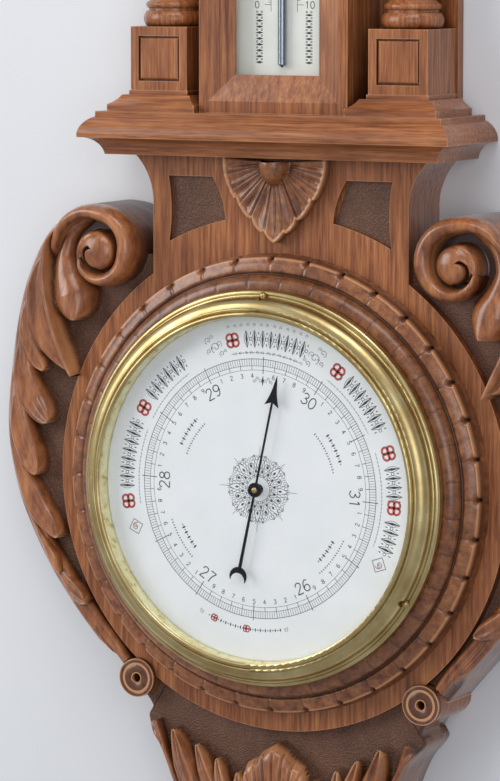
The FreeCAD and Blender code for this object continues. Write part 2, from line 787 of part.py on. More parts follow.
def arbor():
    """Centre arbor with the chain pulley and the collet of the hairspring."""
    shaft = disc(arbor_radius, pointer_front, arbor_back)
    front = pulley_front
    back = pulley_front + pulley_width
    pulley = spun([(0, front - 0.8), (pulley_radius + 0.9, front - 0.8), (pulley_radius + 0.9, front),
                   (pulley_radius, front), (pulley_radius, back), (pulley_radius + 0.9, back),
                   (pulley_radius + 0.9, back + 0.8), (0, back + 0.8)])
    collet = disc(collet_radius, hairspring_depth - 1, hairspring_depth + 1)
    return joined([shaft, pulley, collet])


def hairspring():
    """Flat spiral of half-turn arcs from the collet to its stud on the bridge."""
    edges = []
    radius = hairspring_start
    here = radius
    side = 1.0
    for turn in range(2 * hairspring_turns):
        radius = radius + hairspring_pitch * 0.25
        far = here - side * 2.0 * radius
        middle = (here + far) * 0.5
        edges.append(Part.Arc(Vec(here, hairspring_depth, 0), Vec(middle, hairspring_depth, side * radius),
                              Vec(far, hairspring_depth, 0)).toShape())
        radius = radius + hairspring_pitch * 0.25
        here = far
        side = -side
    path = Part.Wire(edges)
    circle = Part.makeCircle(hairspring_wire, Vec(hairspring_start, hairspring_depth, 0), Vec(0, 0, 1))
    print("hairspring gap between turns", round(hairspring_pitch - 2.0 * hairspring_wire, 2))
    return path.makePipeShell([Part.Wire([circle])], True, False)


def bridge():
    """Front plate of the movement on two pillars."""
    plate = slab([(-bridge_half_width, -bridge_half_length), (0, -bridge_half_length - 6, "arc"),
                  (bridge_half_width, -bridge_half_length), (bridge_half_width, bridge_half_length),
                  (0, bridge_half_length + 6, "arc"), (-bridge_half_width, bridge_half_length)],
                 bridge_front, bridge_front + bridge_thickness)
    return plate.cut(disc(arbor_radius + running_gap, 0, 40))


def pillars():
    posts = []
    for side in (-1, 1):
        z = side * (bridge_half_length - 2)
        front = bridge_front + bridge_thickness
        post = spun([(0, front), (4.0, front), (4.0, front + 2), (pillar_radius, front + 3),
                     (pillar_radius, plate_front - 3), (4.0, plate_front - 2), (4.0, plate_front),
                     (0, plate_front)], 0, z)
        posts.append(post)
    return posts


def cock():
    """Rear cock that carries the back pivot of the arbor, hung from the bridge."""
    front = bridge_front + bridge_thickness
    back = cock_front + cock_thickness
    arm = box(-4, 4, cock_front, back, -24, 6)
    wing = box(-4, hairspring_end + 1.8, cock_front, back, -4, 6)
    leg = box(-4, 4, front, back, -24, -20)
    foot = box(-4, 4, front, front + 2, -20, -13)
    stud = box(hairspring_end, hairspring_end + 1.8, hairspring_depth - 1.5, cock_front, -1, 1)
    return joined([arm, wing, leg, foot, stud]).cut(disc(arbor_radius + running_gap, 25, 40))


def adjusting_screw():
    """Slotted screw in the base plate, turned from the back, that bears on the spring's foot."""
    screw = disc(adjuster_radius, plate_front - 4, drum_back - 0.5, adjuster_x, 0)
    slot = box(adjuster_x - 4, adjuster_x + 4, drum_back - 1.8, drum_back, -0.4, 0.4)
    return screw.cut(slot)


# Pointer

def pointer():
    """Blued hand: needle, barbed head, slim shaft and crescent tail."""
    back = pointer_front + pointer_thickness
    tip = pointer_length
    blade = slab([(-0.6, 0), (-0.6, tip - 16), (-4.6, tip - 18), (-2.6, tip - 13, "arc"), (-0.9, tip - 5),
                  (0, tip), (0.9, tip - 5), (2.6, tip - 13, "arc"), (4.6, tip - 18), (0.6, tip - 16),
                  (0.6, 0), (1.0, 3 - pointer_tail), (-1.0, 3 - pointer_tail)], pointer_front, back)
    crescent = disc(5.5, pointer_front, back, 0, -pointer_tail)
    crescent = crescent.cut(disc(4.6, pointer_front - 1, back + 1, 0, -pointer_tail - 2.6))
    hub = disc(hub_radius, pointer_front - 0.6, back + 0.4)
    hand = joined([blade, crescent, hub]).cut(disc(arbor_radius, pointer_front - 2, back + 2))
    hand.rotate(Vec(0, 0, 0), Vec(0, 1, 0), pointer_reading_angle)
    return hand


def pointer_boss():
    """Brass pin that caps the arbor in the middle of the hub."""
    front = pointer_front - 0.6
    return spun([(0, front - 1.1), (1.2, front - 0.9, "arc"), (1.8, front), (0, front)])


def hanging_plate():
    """Brass plate on the back with the hole that drops over the wall hook."""
    half = hanging_plate_half_width
    low = hanging_plate_bottom
    top = hanging_height + 9.0
    back = wall
    front = wall - hanging_plate_thickness
    outline = [(-half, low), (half, low), (half, hanging_height - 16), (9, hanging_height - 6, "arc"),
               (8, hanging_height), (0, top, "arc"), (-8, hanging_height), (-9, hanging_height - 6, "arc"),
               (-half, hanging_height - 16)]
    plate = slab(outline, front, back)
    return plate.cut([disc(hanging_hole, front - 1, back + 1, 0, hanging_height)] + hanging_screws())


def hanging_screws():
    screws = []
    for offset in (6, 22):
        z = hanging_plate_bottom + offset
        head = spun([(0, wall), (2.8, wall), (1.6, pediment_back), (1.6, pediment_back - 14), (0, pediment_back - 16)],
                    0, z)
        screws.append(head)
    return screws


def save_pair(name, left):
    save("left_" + name, left)
    save("right_" + name, mirrored(left))


save("case_body", case_body())
save_pair("side_carving", side_carving())
save("lower_carving", lower_carving())
save("lower_pendant", pendant())
save("dial_ring_moulding", ring_moulding())
save("neck_shell", neck_shell())
save("cornice_shelf", cornice())
save_pair("pedestal_base", pedestal_base())
save_pair("pedestal", pedestal())
save_pair("column", column())
save("upper_backboard", backboard())
save("entablature", entablature())
save_pair("pediment_scroll", pediment_scroll())
save("crest", crest())
save("hanging_plate", hanging_plate())
save("hanging_plate_screws", *hanging_screws())

save("thermometer_case", thermometer_case())
save("thermometer_frame", thermometer_frame())
save("thermometer_pane", thermometer_pane())
save("thermometer_scale_plate", scale_plate())
save("thermometer_tube", thermometer_tube())
save("thermometer_mercury", mercury())
save("tube_clips", tube_clip(tube_bottom + 50), tube_clip(tube_top - 30))

save("bezel", bezel())
save("bezel_screws", *bezel_screws())
save("bezel_glass", bezel_glass())
save("sight_ring", sight_ring())
save("dial_plate", dial_plate())
save("movement_drum", drum())

save("base_plate", base_plate())
save("base_plate_screws", *plate_screws())
save("capsule", capsule())
save("capsule_stud", capsule_stud())
save("main_spring", main_spring())
save("main_lever", main_lever())
save("link", link())
save("rocking_bar", rocking_bar())
save("rocking_bar_brackets", *rocking_brackets())
save("chain", chain())
save("arbor", arbor())
save("hairspring", hairspring())
save("bridge", bridge())
save("pillars", *pillars())
save("arbor_cock", cock())
save("adjusting_screw", adjusting_screw())
save("pointer", pointer())
save("pointer_boss", pointer_boss())
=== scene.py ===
import math

import bpy
import numpy as np
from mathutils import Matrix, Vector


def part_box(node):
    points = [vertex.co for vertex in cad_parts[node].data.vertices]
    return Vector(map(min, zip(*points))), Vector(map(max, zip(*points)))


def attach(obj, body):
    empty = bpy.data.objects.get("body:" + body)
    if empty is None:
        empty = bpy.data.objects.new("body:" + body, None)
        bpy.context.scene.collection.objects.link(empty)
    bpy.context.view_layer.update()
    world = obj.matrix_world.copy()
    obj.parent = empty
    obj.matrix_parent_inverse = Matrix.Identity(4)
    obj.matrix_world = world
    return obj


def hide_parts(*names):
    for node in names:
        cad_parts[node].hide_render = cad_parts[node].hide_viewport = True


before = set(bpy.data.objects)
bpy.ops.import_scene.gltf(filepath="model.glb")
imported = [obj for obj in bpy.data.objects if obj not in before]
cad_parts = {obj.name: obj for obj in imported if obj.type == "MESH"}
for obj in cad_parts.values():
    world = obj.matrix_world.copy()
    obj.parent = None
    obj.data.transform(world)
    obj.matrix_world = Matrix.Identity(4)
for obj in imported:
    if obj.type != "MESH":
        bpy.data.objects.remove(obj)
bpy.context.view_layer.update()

# Lengths are millimetres from the middle of the dial face: X right, Y into the wall, Z up.
low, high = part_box("dial_plate")
MIDDLE = ((low[0] + high[0]) / 2, low[1], (low[2] + high[2]) / 2)
MM = 0.001

# Depths of the wall, of the front of the plain band and of the punched ground
WALL = 66.0
BAND = 25.0
GROUND = 32.0

# Round edge of the case, where the carved boards begin, and the left side of its neck
BOARD_RADIUS = 144.5
NECK_SIDE = -81.8

# Middle of the left roundel, and the room it takes in the carved boards
ROUNDEL = (-93.1, -121.3)
ROUNDEL_ROOM = 12.4


def metres(points):
    """Points in millimetres from the dial, as an array in the frame's metres."""
    return np.asarray(points, float) * MM + np.array(MIDDLE)


# Camera: its direction, its focal length and place, as worked out from the photo's perspective

AZIMUTH = math.radians(27.9)
ELEVATION = math.radians(6.4)
FOCAL_PIXELS = 4000.0
FRAME_PIXELS = 781.0
CAMERA_PLACE = (1059.1, -2010.7, 311.8)


def add_camera():
    data = bpy.data.cameras.new("camera")
    data.sensor_width = 36.0
    data.lens = FOCAL_PIXELS / FRAME_PIXELS * data.sensor_width
    data.clip_end = 50.0
    camera = bpy.data.objects.new("camera", data)
    bpy.context.collection.objects.link(camera)
    camera.location = metres([CAMERA_PLACE])[0]
    camera.rotation_euler = (math.pi / 2 - ELEVATION, 0.0, AZIMUTH)
    bpy.context.scene.camera = camera


# Light

def add_area(name, place, size, power, colour=(1.0, 1.0, 1.0)):
    """Soft rectangular lamp that faces the dial."""
    data = bpy.data.lights.new(name, "AREA")
    data.shape = "RECTANGLE"
    data.size = size[0]
    data.size_y = size[1]
    data.energy = power
    data.color = colour
    lamp = bpy.data.objects.new(name, data)
    bpy.context.collection.objects.link(lamp)
    lamp.location = place
    direction = np.array(MIDDLE) - np.array(place)
    flat = math.hypot(direction[0], direction[1])
    lamp.rotation_euler = (math.pi / 2 + math.atan2(direction[2], flat), 0.0,
                           math.atan2(direction[1], direction[0]) - math.pi / 2)


def add_lights():
    add_area("window_left", (-1.9, -1.6, 0.4), (1.4, 1.6), 30.0, (1.0, 0.99, 0.97))
    add_area("overhead", (0.5, -1.2, 1.5), (1.6, 1.0), 16.0)
    add_area("front_fill", (1.4, -2.6, -0.2), (1.6, 1.6), 16.0)
    world = bpy.data.worlds.new("room")
    bpy.context.scene.world = world
    world.use_nodes = True
    world.node_tree.nodes["Background"].inputs["Color"].default_value = (0.9, 0.93, 1.0, 1.0)
    world.node_tree.nodes["Background"].inputs["Strength"].default_value = 0.42


# Materials

def rgb(red, green, blue):
    """Screen colour from 0 to 255, as linear light."""
    def linear(value):
        share = value / 255.0
        return share / 12.92 if share <= 0.04045 else ((share + 0.055) / 1.055) ** 2.4
    return linear(red), linear(green), linear(blue)


def solid(colour, tone=1.0):
    """Colour times a tone, with full alpha."""
    return tuple(c * tone for c in colour) + (1.0,)


class Paint:
    """Small helper that adds nodes to one material and links them."""

    def __init__(self, name):
        self.material = bpy.data.materials.new(name)
        self.material.use_nodes = True
        self.tree = self.material.node_tree
        self.tree.nodes.clear()
        self.out = self.add("ShaderNodeOutputMaterial")

    def feed(self, socket, value):
        """Link a value that comes from another node, or set a plain one."""
        if hasattr(value, "is_output"):
            self.tree.links.new(value, socket)
        else:
            socket.default_value = value

    def add(self, kind, **inputs):
        node = self.tree.nodes.new(kind)
        for key, value in inputs.items():
            self.feed(node.inputs[key.replace("_", " ")], value)
        return node

    def place(self, scale):
        """Object coordinates stretched by one scale, or by one for each axis."""
        where = self.add("ShaderNodeTexCoord").outputs["Object"]
        stretch = scale if isinstance(scale, tuple) else (scale,) * 3
        return self.add("ShaderNodeMapping", Vector=where, Scale=stretch).outputs["Vector"]

    def noise(self, scale, detail=3.0, roughness=0.55):
        node = self.add("ShaderNodeTexNoise", Vector=self.place(scale), Scale=1.0, Detail=detail,
                        Roughness=roughness)
        return node.outputs["Fac"]

    def ramp(self, value, stops):
        """Colour from a value, through stops of position and colour."""
        node = self.add("ShaderNodeValToRGB", Fac=value)
        elements = node.color_ramp.elements
        elements[0].position, elements[0].color = stops[0][0], solid(stops[0][1])
        elements[1].position, elements[1].color = stops[-1][0], solid(stops[-1][1])
        for position, colour in stops[1:-1]:
            elements.new(position).color = solid(colour)
        return node.outputs["Color"]

    def mix(self, factor, first, second, mode="MIX"):
        """Mix of two colours."""
        node = self.tree.nodes.new("ShaderNodeMix")
        node.data_type = "RGBA"
        node.blend_type = mode
        for index, value in ((0, factor), (6, first), (7, second)):
            self.feed(node.inputs[index], value)
        return node.outputs[2]

    def maths(self, operation, first, second):
        node = self.tree.nodes.new("ShaderNodeMath")
        node.operation = operation
        node.use_clamp = operation != "SUBTRACT"
        self.feed(node.inputs[0], first)
        self.feed(node.inputs[1], second)
        return node.outputs[0]

    def occlusion(self, reach, inside=False):
        node = self.add("ShaderNodeAmbientOcclusion", Distance=reach)
        node.samples = 8
        node.inside = inside
        return node.outputs["AO"]

    def attribute(self, name):
        node = self.tree.nodes.new("ShaderNodeAttribute")
        node.attribute_name = name
        return node.outputs["Fac"]

    def bump(self, height, strength, distance):
        node = self.add("ShaderNodeBump", Height=height, Strength=strength, Distance=distance)
        return node.outputs["Normal"]

    def blend(self, factor, first, second):
        """Mix of two shaders."""
        node = self.add("ShaderNodeMixShader", Fac=factor)
        self.tree.links.new(first.outputs[0], node.inputs[1])
        self.tree.links.new(second.outputs[0], node.inputs[2])
        return node

    def finish(self, shader):
        self.tree.links.new(shader.outputs[0], self.out.inputs["Surface"])
        return self.material

    def surface(self, **inputs):
        return self.finish(self.add("ShaderNodeBsdfPrincipled", **inputs))


def oak(name, grain=(520.0, 520.0, 26.0), tone=1.0, carved=False, shine=0.35):
    """Varnished oak: long grain, open pores, painted shade in corners and hollows, and pale edges that are
    partly wear and partly a painted highlight.
    """
    paint = Paint(name)
    broad = paint.noise((22.0, 22.0, 16.0))
    streak = paint.noise(grain, detail=5.0, roughness=0.65)
    pores = paint.noise(tuple(g * 2.6 for g in grain), detail=2.0)
    dark = [c * tone for c in rgb(112, 64, 38)]
    middle = [c * tone for c in rgb(162, 102, 62)]
    light = [c * tone for c in rgb(194, 134, 88)]
    body = paint.ramp(streak, [(0.30, dark), (0.50, middle), (0.72, light)])
    patchy = paint.ramp(broad, [(0.32, (0.74, 0.66, 0.62)), (0.68, (1.16, 1.12, 1.08))])
    colour = paint.mix(1.0, body, patchy, "MULTIPLY")
    pore = paint.maths("MULTIPLY", paint.maths("SUBTRACT", pores, 0.56), 6.0)
    colour = paint.mix(paint.maths("MULTIPLY", pore, 0.5), colour, solid(dark, 0.5))
    # Painted shade: the colour is darker where the occlusion finds corners and recesses.
    painted_corner_shade = paint.ramp(paint.occlusion(0.016), [(0.25, (0.36, 0.28, 0.24)), (0.55, (0.88, 0.85, 0.83)),
                                                 (0.95, (1.0, 1.0, 1.0))])
    colour = paint.mix(1.0, colour, painted_corner_shade, "MULTIPLY")
    if carved:
        # Carved pieces: the hollow attribute paints shade into recesses, and the other attribute paints pale
        # edges, partly wear and partly a painted highlight.
        colour = paint.mix(paint.attribute("hollow"), colour, solid(rgb(72, 44, 32), 0.55))
        colour = paint.mix(paint.attribute("wear_and_highlight"), colour, solid(rgb(210, 150, 104)))
    else:
        # Pale sharp edges found by inside occlusion: partly wear, partly a painted highlight.
        rubbed_and_highlit = paint.ramp(paint.occlusion(0.0014, True), [(0.42, (0.75,) * 3), (0.66, (0.0,) * 3)])
        colour = paint.mix(rubbed_and_highlit, colour, solid(rgb(214, 160, 116)))
    normal = paint.bump(paint.maths("ADD", streak, paint.maths("MULTIPLY", pore, -0.4)), 0.25, 0.0006)
    rough = paint.ramp(streak, [(0.3, (0.44 - shine * 0.2,) * 3), (0.7, (0.36 - shine * 0.2,) * 3)])
    return paint.surface(Base_Color=colour, Roughness=rough, Normal=normal, Specular_IOR_Level=shine,
                         Coat_Weight=shine * 0.9, Coat_Roughness=0.16)


def stippled_oak():
    """Punched ground: dark and matt, covered with small tool marks."""
    paint = Paint("stippled_oak")
    marks = paint.add("ShaderNodeTexVoronoi", Vector=paint.place(1050.0), Scale=1.0).outputs["Distance"]
    spread = paint.noise((60.0, 60.0, 30.0))
    colour = paint.ramp(spread, [(0.3, rgb(70, 44, 33)), (0.7, rgb(112, 76, 57))])
    punched = paint.ramp(marks, [(0.0, rgb(52, 32, 24)), (0.7, rgb(138, 98, 76))])
    return paint.surface(Base_Color=paint.mix(0.4, colour, punched), Roughness=0.5,
                         Normal=paint.bump(marks, 0.6, 0.0008), Specular_IOR_Level=0.4)


def brass(name, tone=1.0, rough=0.26):
    """Brass with a cloudy polish and fine brush marks."""
    paint = Paint(name)
    cloud = paint.noise(40.0, detail=4.0)
    brush = paint.noise((30.0, 900.0, 30.0), detail=2.0)
    bright = [c * tone for c in rgb(212, 194, 142)]
    dull = [c * tone for c in rgb(178, 152, 100)]
    colour = paint.ramp(cloud, [(0.35, dull), (0.65, bright)])
    roughness = paint.ramp(cloud, [(0.3, (rough + 0.12,) * 3), (0.7, (rough,) * 3)])
    return paint.surface(Base_Color=colour, Metallic=1.0, Roughness=roughness,
                         Normal=paint.bump(brush, 0.015, 0.0001))


def sight_brass():
    """Brass painted pale with a painted reflection of the dial, mottled where the painted reflection shows
    the printing.
    """
    paint = Paint("sight_brass")
    mottle = paint.noise(210.0, detail=4.0)
    colour = paint.ramp(mottle, [(0.40, rgb(244, 238, 196)), (0.58, rgb(234, 222, 160)),
                                 (0.70, rgb(186, 168, 108))])
    return paint.surface(Base_Color=colour, Metallic=0.25, Roughness=0.28,
                         Normal=paint.bump(mottle, 0.02, 0.0001))


def tube_glass():
    """Thermometer tube: the mercury fills it to the eye up to its level, and clear glass above."""
    paint = Paint("tube_glass")
    where = paint.add("ShaderNodeTexCoord").outputs["Object"]
    height = paint.add("ShaderNodeSeparateXYZ", Vector=where).outputs["Z"]
    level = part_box("thermometer_mercury")[1][2]
    above = paint.maths("GREATER_THAN", height, level)
    streak = paint.noise((300.0, 300.0, 8.0), detail=2.0)
    silver = paint.ramp(streak, [(0.3, rgb(112, 124, 140)), (0.7, rgb(168, 178, 190))])
    column = paint.add("ShaderNodeBsdfPrincipled", Base_Color=silver, Metallic=0.8, Roughness=0.22)
    clear = paint.add("ShaderNodeBsdfTransparent", Color=(0.94, 0.96, 0.96, 1.0))
    shine = paint.add("ShaderNodeBsdfGlossy", Color=(1.0, 1.0, 1.0, 1.0), Roughness=0.08)
    return paint.finish(paint.blend(above, column, paint.blend(0.12, clear, shine)))


def metal(name, colour, rough):
    """Plain metal with a faint cloud."""
    paint = Paint(name)
    cloud = paint.noise(150.0)
    darker = [c * 0.7 for c in colour]
    return paint.surface(Base_Color=paint.ramp(cloud, [(0.3, darker), (0.7, colour)]), Metallic=1.0,
                         Roughness=rough, Normal=paint.bump(cloud, 0.05, 0.0002))


def dial_white():
    """Silvered white dial with a faint mottle."""
    paint = Paint("dial_white")
    mottle = paint.noise(35.0, detail=5.0)
    fine = paint.noise(900.0, detail=2.0)
    colour = paint.ramp(mottle, [(0.3, rgb(238, 241, 243)), (0.7, rgb(246, 248, 250))])
    return paint.surface(Base_Color=colour, Roughness=0.42, Normal=paint.bump(fine, 0.02, 0.0002),
                         Specular_IOR_Level=0.35)


def ink(name, colour):
    """Printing ink, a little faded in places."""
    paint = Paint(name)
    wear = paint.noise(700.0)
    faded = [c * 1.6 + 0.03 for c in colour]
    return paint.surface(Base_Color=paint.ramp(wear, [(0.45, colour), (0.8, faded)]), Roughness=0.5)


def clear_glass():
    """Clear pane that keeps the light behind it and adds a soft reflection."""
    paint = Paint("clear_glass")
    smear = paint.ramp(paint.noise((25.0, 25.0, 60.0), detail=2.0), [(0.3, (0.05,) * 3), (0.7, (0.12,) * 3)])
    shine = paint.add("ShaderNodeBsdfGlossy", Color=(1.0, 1.0, 1.0, 1.0), Roughness=smear)
    clear = paint.add("ShaderNodeBsdfTransparent", Color=(0.997, 1.0, 0.998, 1.0))
    slant = paint.add("ShaderNodeLayerWeight", Blend=0.5).outputs["Facing"]
    edge = paint.maths("MULTIPLY", paint.maths("POWER", slant, 5.0), 0.4)
    return paint.finish(paint.blend(paint.maths("ADD", edge, 0.02), clear, shine))


def opal():
    """Opal glass plate of the thermometer."""
    paint = Paint("opal_plate")
    cloud = paint.noise(60.0, detail=4.0)
    return paint.surface(Base_Color=paint.ramp(cloud, [(0.3, rgb(232, 234, 224)), (0.7, rgb(242, 243, 236))]),
                         Roughness=0.3, Normal=paint.bump(cloud, 0.03, 0.0002))


def wall_paint():
    """Wall paint seen from the front only, so that the back of the object can be looked at and lit."""
    paint = Paint("wall_paint")
    cloud = paint.noise(3.0)
    grit = paint.noise(400.0, detail=2.0)
    colour = paint.ramp(cloud, [(0.3, rgb(226, 228, 232)), (0.7, rgb(234, 236, 239))])
    front = paint.add("ShaderNodeBsdfPrincipled", Base_Color=colour, Roughness=0.6,
                      Normal=paint.bump(grit, 0.05, 0.0005))
    clear = paint.add("ShaderNodeBsdfTransparent", Color=(1.0, 1.0, 1.0, 1.0))
    behind = paint.add("ShaderNodeNewGeometry").outputs["Backfacing"]
    path = paint.add("ShaderNodeLightPath").outputs
    near = paint.maths("LESS_THAN", path["Ray Length"], 0.05)
    unseen = paint.maths("SUBTRACT", 1.0, path["Is Camera Ray"])
    absent = paint.maths("MAXIMUM", behind, paint.maths("MULTIPLY", near, unseen))
    return paint.finish(paint.blend(absent, front, clear))


OAK = oak("oak")
OAK_ACROSS = oak("oak_across", grain=(26.0, 520.0, 520.0))
OAK_CARVED = oak("oak_carved", grain=(150.0, 150.0, 40.0), carved=True, shine=0.5)
OAK_RING = oak("oak_ring", grain=(160.0, 160.0, 160.0), tone=0.86, carved=True, shine=0.45)
STIPPLED = stippled_oak()
BRASS = brass("polished_brass")
BRASS_DULL = brass("old_brass", tone=0.8, rough=0.32)
PAINTED_REFLECTION_BRASS = sight_brass()
STEEL = metal("bright_steel", rgb(176, 178, 184), 0.3)
NICKEL = metal("nickel", rgb(196, 190, 176), 0.28)
BLUED = metal("blued_steel", rgb(34, 32, 42), 0.32)
MERCURY = metal("mercury", rgb(120, 128, 140), 0.12)
DIAL = dial_white()
GLASS = clear_glass()
TUBE_GLASS = tube_glass()
OPAL = opal()
BLACK_INK = ink("black_ink", rgb(44, 44, 50))
RED_INK = ink("red_ink", rgb(196, 74, 58))
WALL_PAINT = wall_paint()


# Mesh helpers

def add_mesh(name, points, faces, material, body="case", smooth=True, hollow=None, wear_and_highlight=None,
             choice=None):
    """Piece from points in millimetres; two attributes colour carved oak, one with painted shade in hollows
    and one with pale edges that are partly wear and partly a painted highlight, and choice picks a material.
    """
    mesh = bpy.data.meshes.new(name)
    corners = np.reshape(np.asarray(points, float), (-1, 3))
    mesh.from_pydata([tuple(p) for p in metres(corners)], [], faces)
    mesh.update()
    for label, values in (("hollow", hollow), ("wear_and_highlight", wear_and_highlight)):
        if values is not None:
            layer = mesh.attributes.new(label, "FLOAT", "POINT")
            layer.data.foreach_set("value", np.ravel(values).astype(np.float32))
    if smooth:
        mesh.polygons.foreach_set("use_smooth", [True] * len(mesh.polygons))
    for paint in (material if isinstance(material, list) else [material]):
        mesh.materials.append(paint)
    if choice is not None:
        mesh.polygons.foreach_set("material_index", choice)
    piece = bpy.data.objects.new(name, mesh)
    bpy.context.collection.objects.link(piece)
    if body:
        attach(piece, body)
    return piece


def sheet_faces(rows, columns, close_rows=False, flip=False):
    """Quads of a grid of points; closed rows join the last row to the first."""
    faces = []
    for i in range(rows if close_rows else rows - 1):
        for j in range(columns - 1):
            a = i * columns + j
            d = ((i + 1) % rows) * columns + j
            faces.append((a, d, d + 1, a + 1) if flip else (a, a + 1, d + 1, d))
    return faces


def turned(profile, turns, middle=(0.0, 0.0)):
    """Points of a profile of radius and depth, turned about an axis into the wall."""
    return [(middle[0] + r * math.sin(a), y, middle[1] + r * math.cos(a))
            for a in np.linspace(0, 2 * math.pi, turns, endpoint=False) for r, y in profile]


def smooth_line(points, count):
    """Evenly numbered points on a smooth curve through the given ones."""
    points = np.asarray(points, float)
    padded = np.vstack([2 * points[0] - points[1], points, 2 * points[-1] - points[-2]])
    result = []
    for value in np.linspace(0, len(points) - 1, count):
        k = min(int(value), len(points) - 2)
        t = value - k
        p0, p1, p2, p3 = padded[k:k + 4]
        result.append(0.5 * (2 * p1 + (p2 - p0) * t + (2 * p0 - 5 * p1 + 4 * p2 - p3) * t ** 2
                             + (3 * p1 - p0 - 3 * p2 + p3) * t ** 3))
    return np.array(result)


def step(value, start, end):
    """Smooth rise from 0 at the start to 1 at the end."""
    share = np.clip((value - start) / (end - start), 0.0, 1.0)
    return share * share * (3 - 2 * share)


# Carving as a relief: height in millimetres above the punched ground

def strand(x, z, spine, half_widths, heights, scoop=1.5, flutes=0.0, tip=0.2, power=5.0):
    """Height of one carved leaf that follows a spine and has a round end."""
    count = 90
    line = smooth_line(spine, count)
    along = np.gradient(line, axis=0)
    length = np.hypot(along[:, 0], along[:, 1])
    tangent = along / length[:, None]
    gap = (x[..., None] - line[:, 0]) ** 2 + (z[..., None] - line[:, 1]) ** 2
    nearest = np.argmin(gap, axis=-1)
    dx = x - line[nearest, 0]
    dz = z - line[nearest, 1]
    forward = dx * tangent[nearest, 0] + dz * tangent[nearest, 1]
    aside = dx * tangent[nearest, 1] - dz * tangent[nearest, 0]
    t = (nearest + forward / length[nearest]) / (count - 1)
    width = np.interp(t, np.linspace(0, 1, len(half_widths)), half_widths)
    over = np.clip((t - (1 - tip)) / tip, 0.0, 1.0)
    width = width * np.sqrt(np.clip(1 - over ** 2, 0.0, 1.0))
    q = np.abs(aside) / np.maximum(width, 0.05)
    inside = (q < 1) & (t > -0.02) & (t < 1)
    body = np.interp(t, np.linspace(0, 1, len(heights)), heights)
    edge = np.clip(1 - q ** power, 0.0, 1.0) ** 0.7
    hollow = scoop * np.clip(1 - (q * 1.12) ** 2, 0.0, 1.0)
    ribs = flutes * np.cos(aside / np.maximum(width, 0.05) * math.pi * 2.5) * (1 - q ** 4)
    result = body * edge - hollow - ribs
    return np.where(inside, result, 0.0)


# Left volute: its eye, how far it stands above the leaves, and the radius of its button
EYE = (-115.4, 131.4)
VOLUTE_LIFT = 3.5
BUTTON = 11.4

# Turn along the roll in degrees, and there its inner radius, outer radius and height
VOLUTE_TURN = [0, 20, 65, 110, 155, 200, 245, 290, 335, 360]
VOLUTE_INNER = [31, 28.8, 23, 17.0, 15.4, 12.8, 12.9, 13.2, 12.3, 11.2]
VOLUTE_OUTER = [36.5, 35, 31.0, 27.0, 26.8, 25.6, 23.2, 20.6, 17.6, 15.4]
VOLUTE_TOP = [11.5, 13, 15, 16.5, 17.5, 18, 17.5, 17, 16, 13.5]


def volute_height(s, angle, r, inner, outer):
    """Height of the rolled end: full outer roll, deep channel and a domed button with a comma cut."""
    q = np.clip(np.abs(r - (inner + outer) / 2) / ((outer - inner) / 2), 0.0, 1.0)
    top = np.interp(s, VOLUTE_TURN, VOLUTE_TOP)
    roll = top * (0.42 + 0.58 * np.sqrt(1 - q ** 2.4)) * step(s, -4, 24)
    tail_turn = [0, 20, 65, 100, 130]
    wrap = np.interp(s, tail_turn, [15.4, 14.9, 13.6, 12.4, 11.6])
    hold = np.interp(s, tail_turn, [10.6, 9.4, 8.0, 7.0, 6.0])
    tail_q = np.clip(np.abs(r - (hold + wrap) / 2) / np.maximum((wrap - hold) / 2, 0.1), 0.0, 1.0)
    tail = np.where((s < tail_turn[-1]) & (tail_q < 1), 9.0 + 5.0 * np.sqrt(1 - tail_q ** 2), 0.0)
    button = np.where(r < BUTTON, 11.0 + 6.5 * np.sqrt(np.clip(1 - (r / 11.5) ** 2, 0.0, 1.0)), 0.0)
    below = np.mod(angle, 360.0)
    path = np.interp(below, [140, 165, 180, 225, 262, 275], [3.6, 6.0, 7.6, 10.2, 11.3, 11.6])
    comma = np.exp(-((r - path) / 1.0) ** 2) * step(below, 138, 150) * (1 - step(below, 268, 280))
    inside = np.maximum(button, tail) - 5.5 * comma
    lift = VOLUTE_LIFT * np.where(r >= inner, step(s, 0, 60), 1.0)
    return np.where(r >= inner, roll + lift, np.maximum(inside, 4.5) + lift * (inside > 6.0)), comma


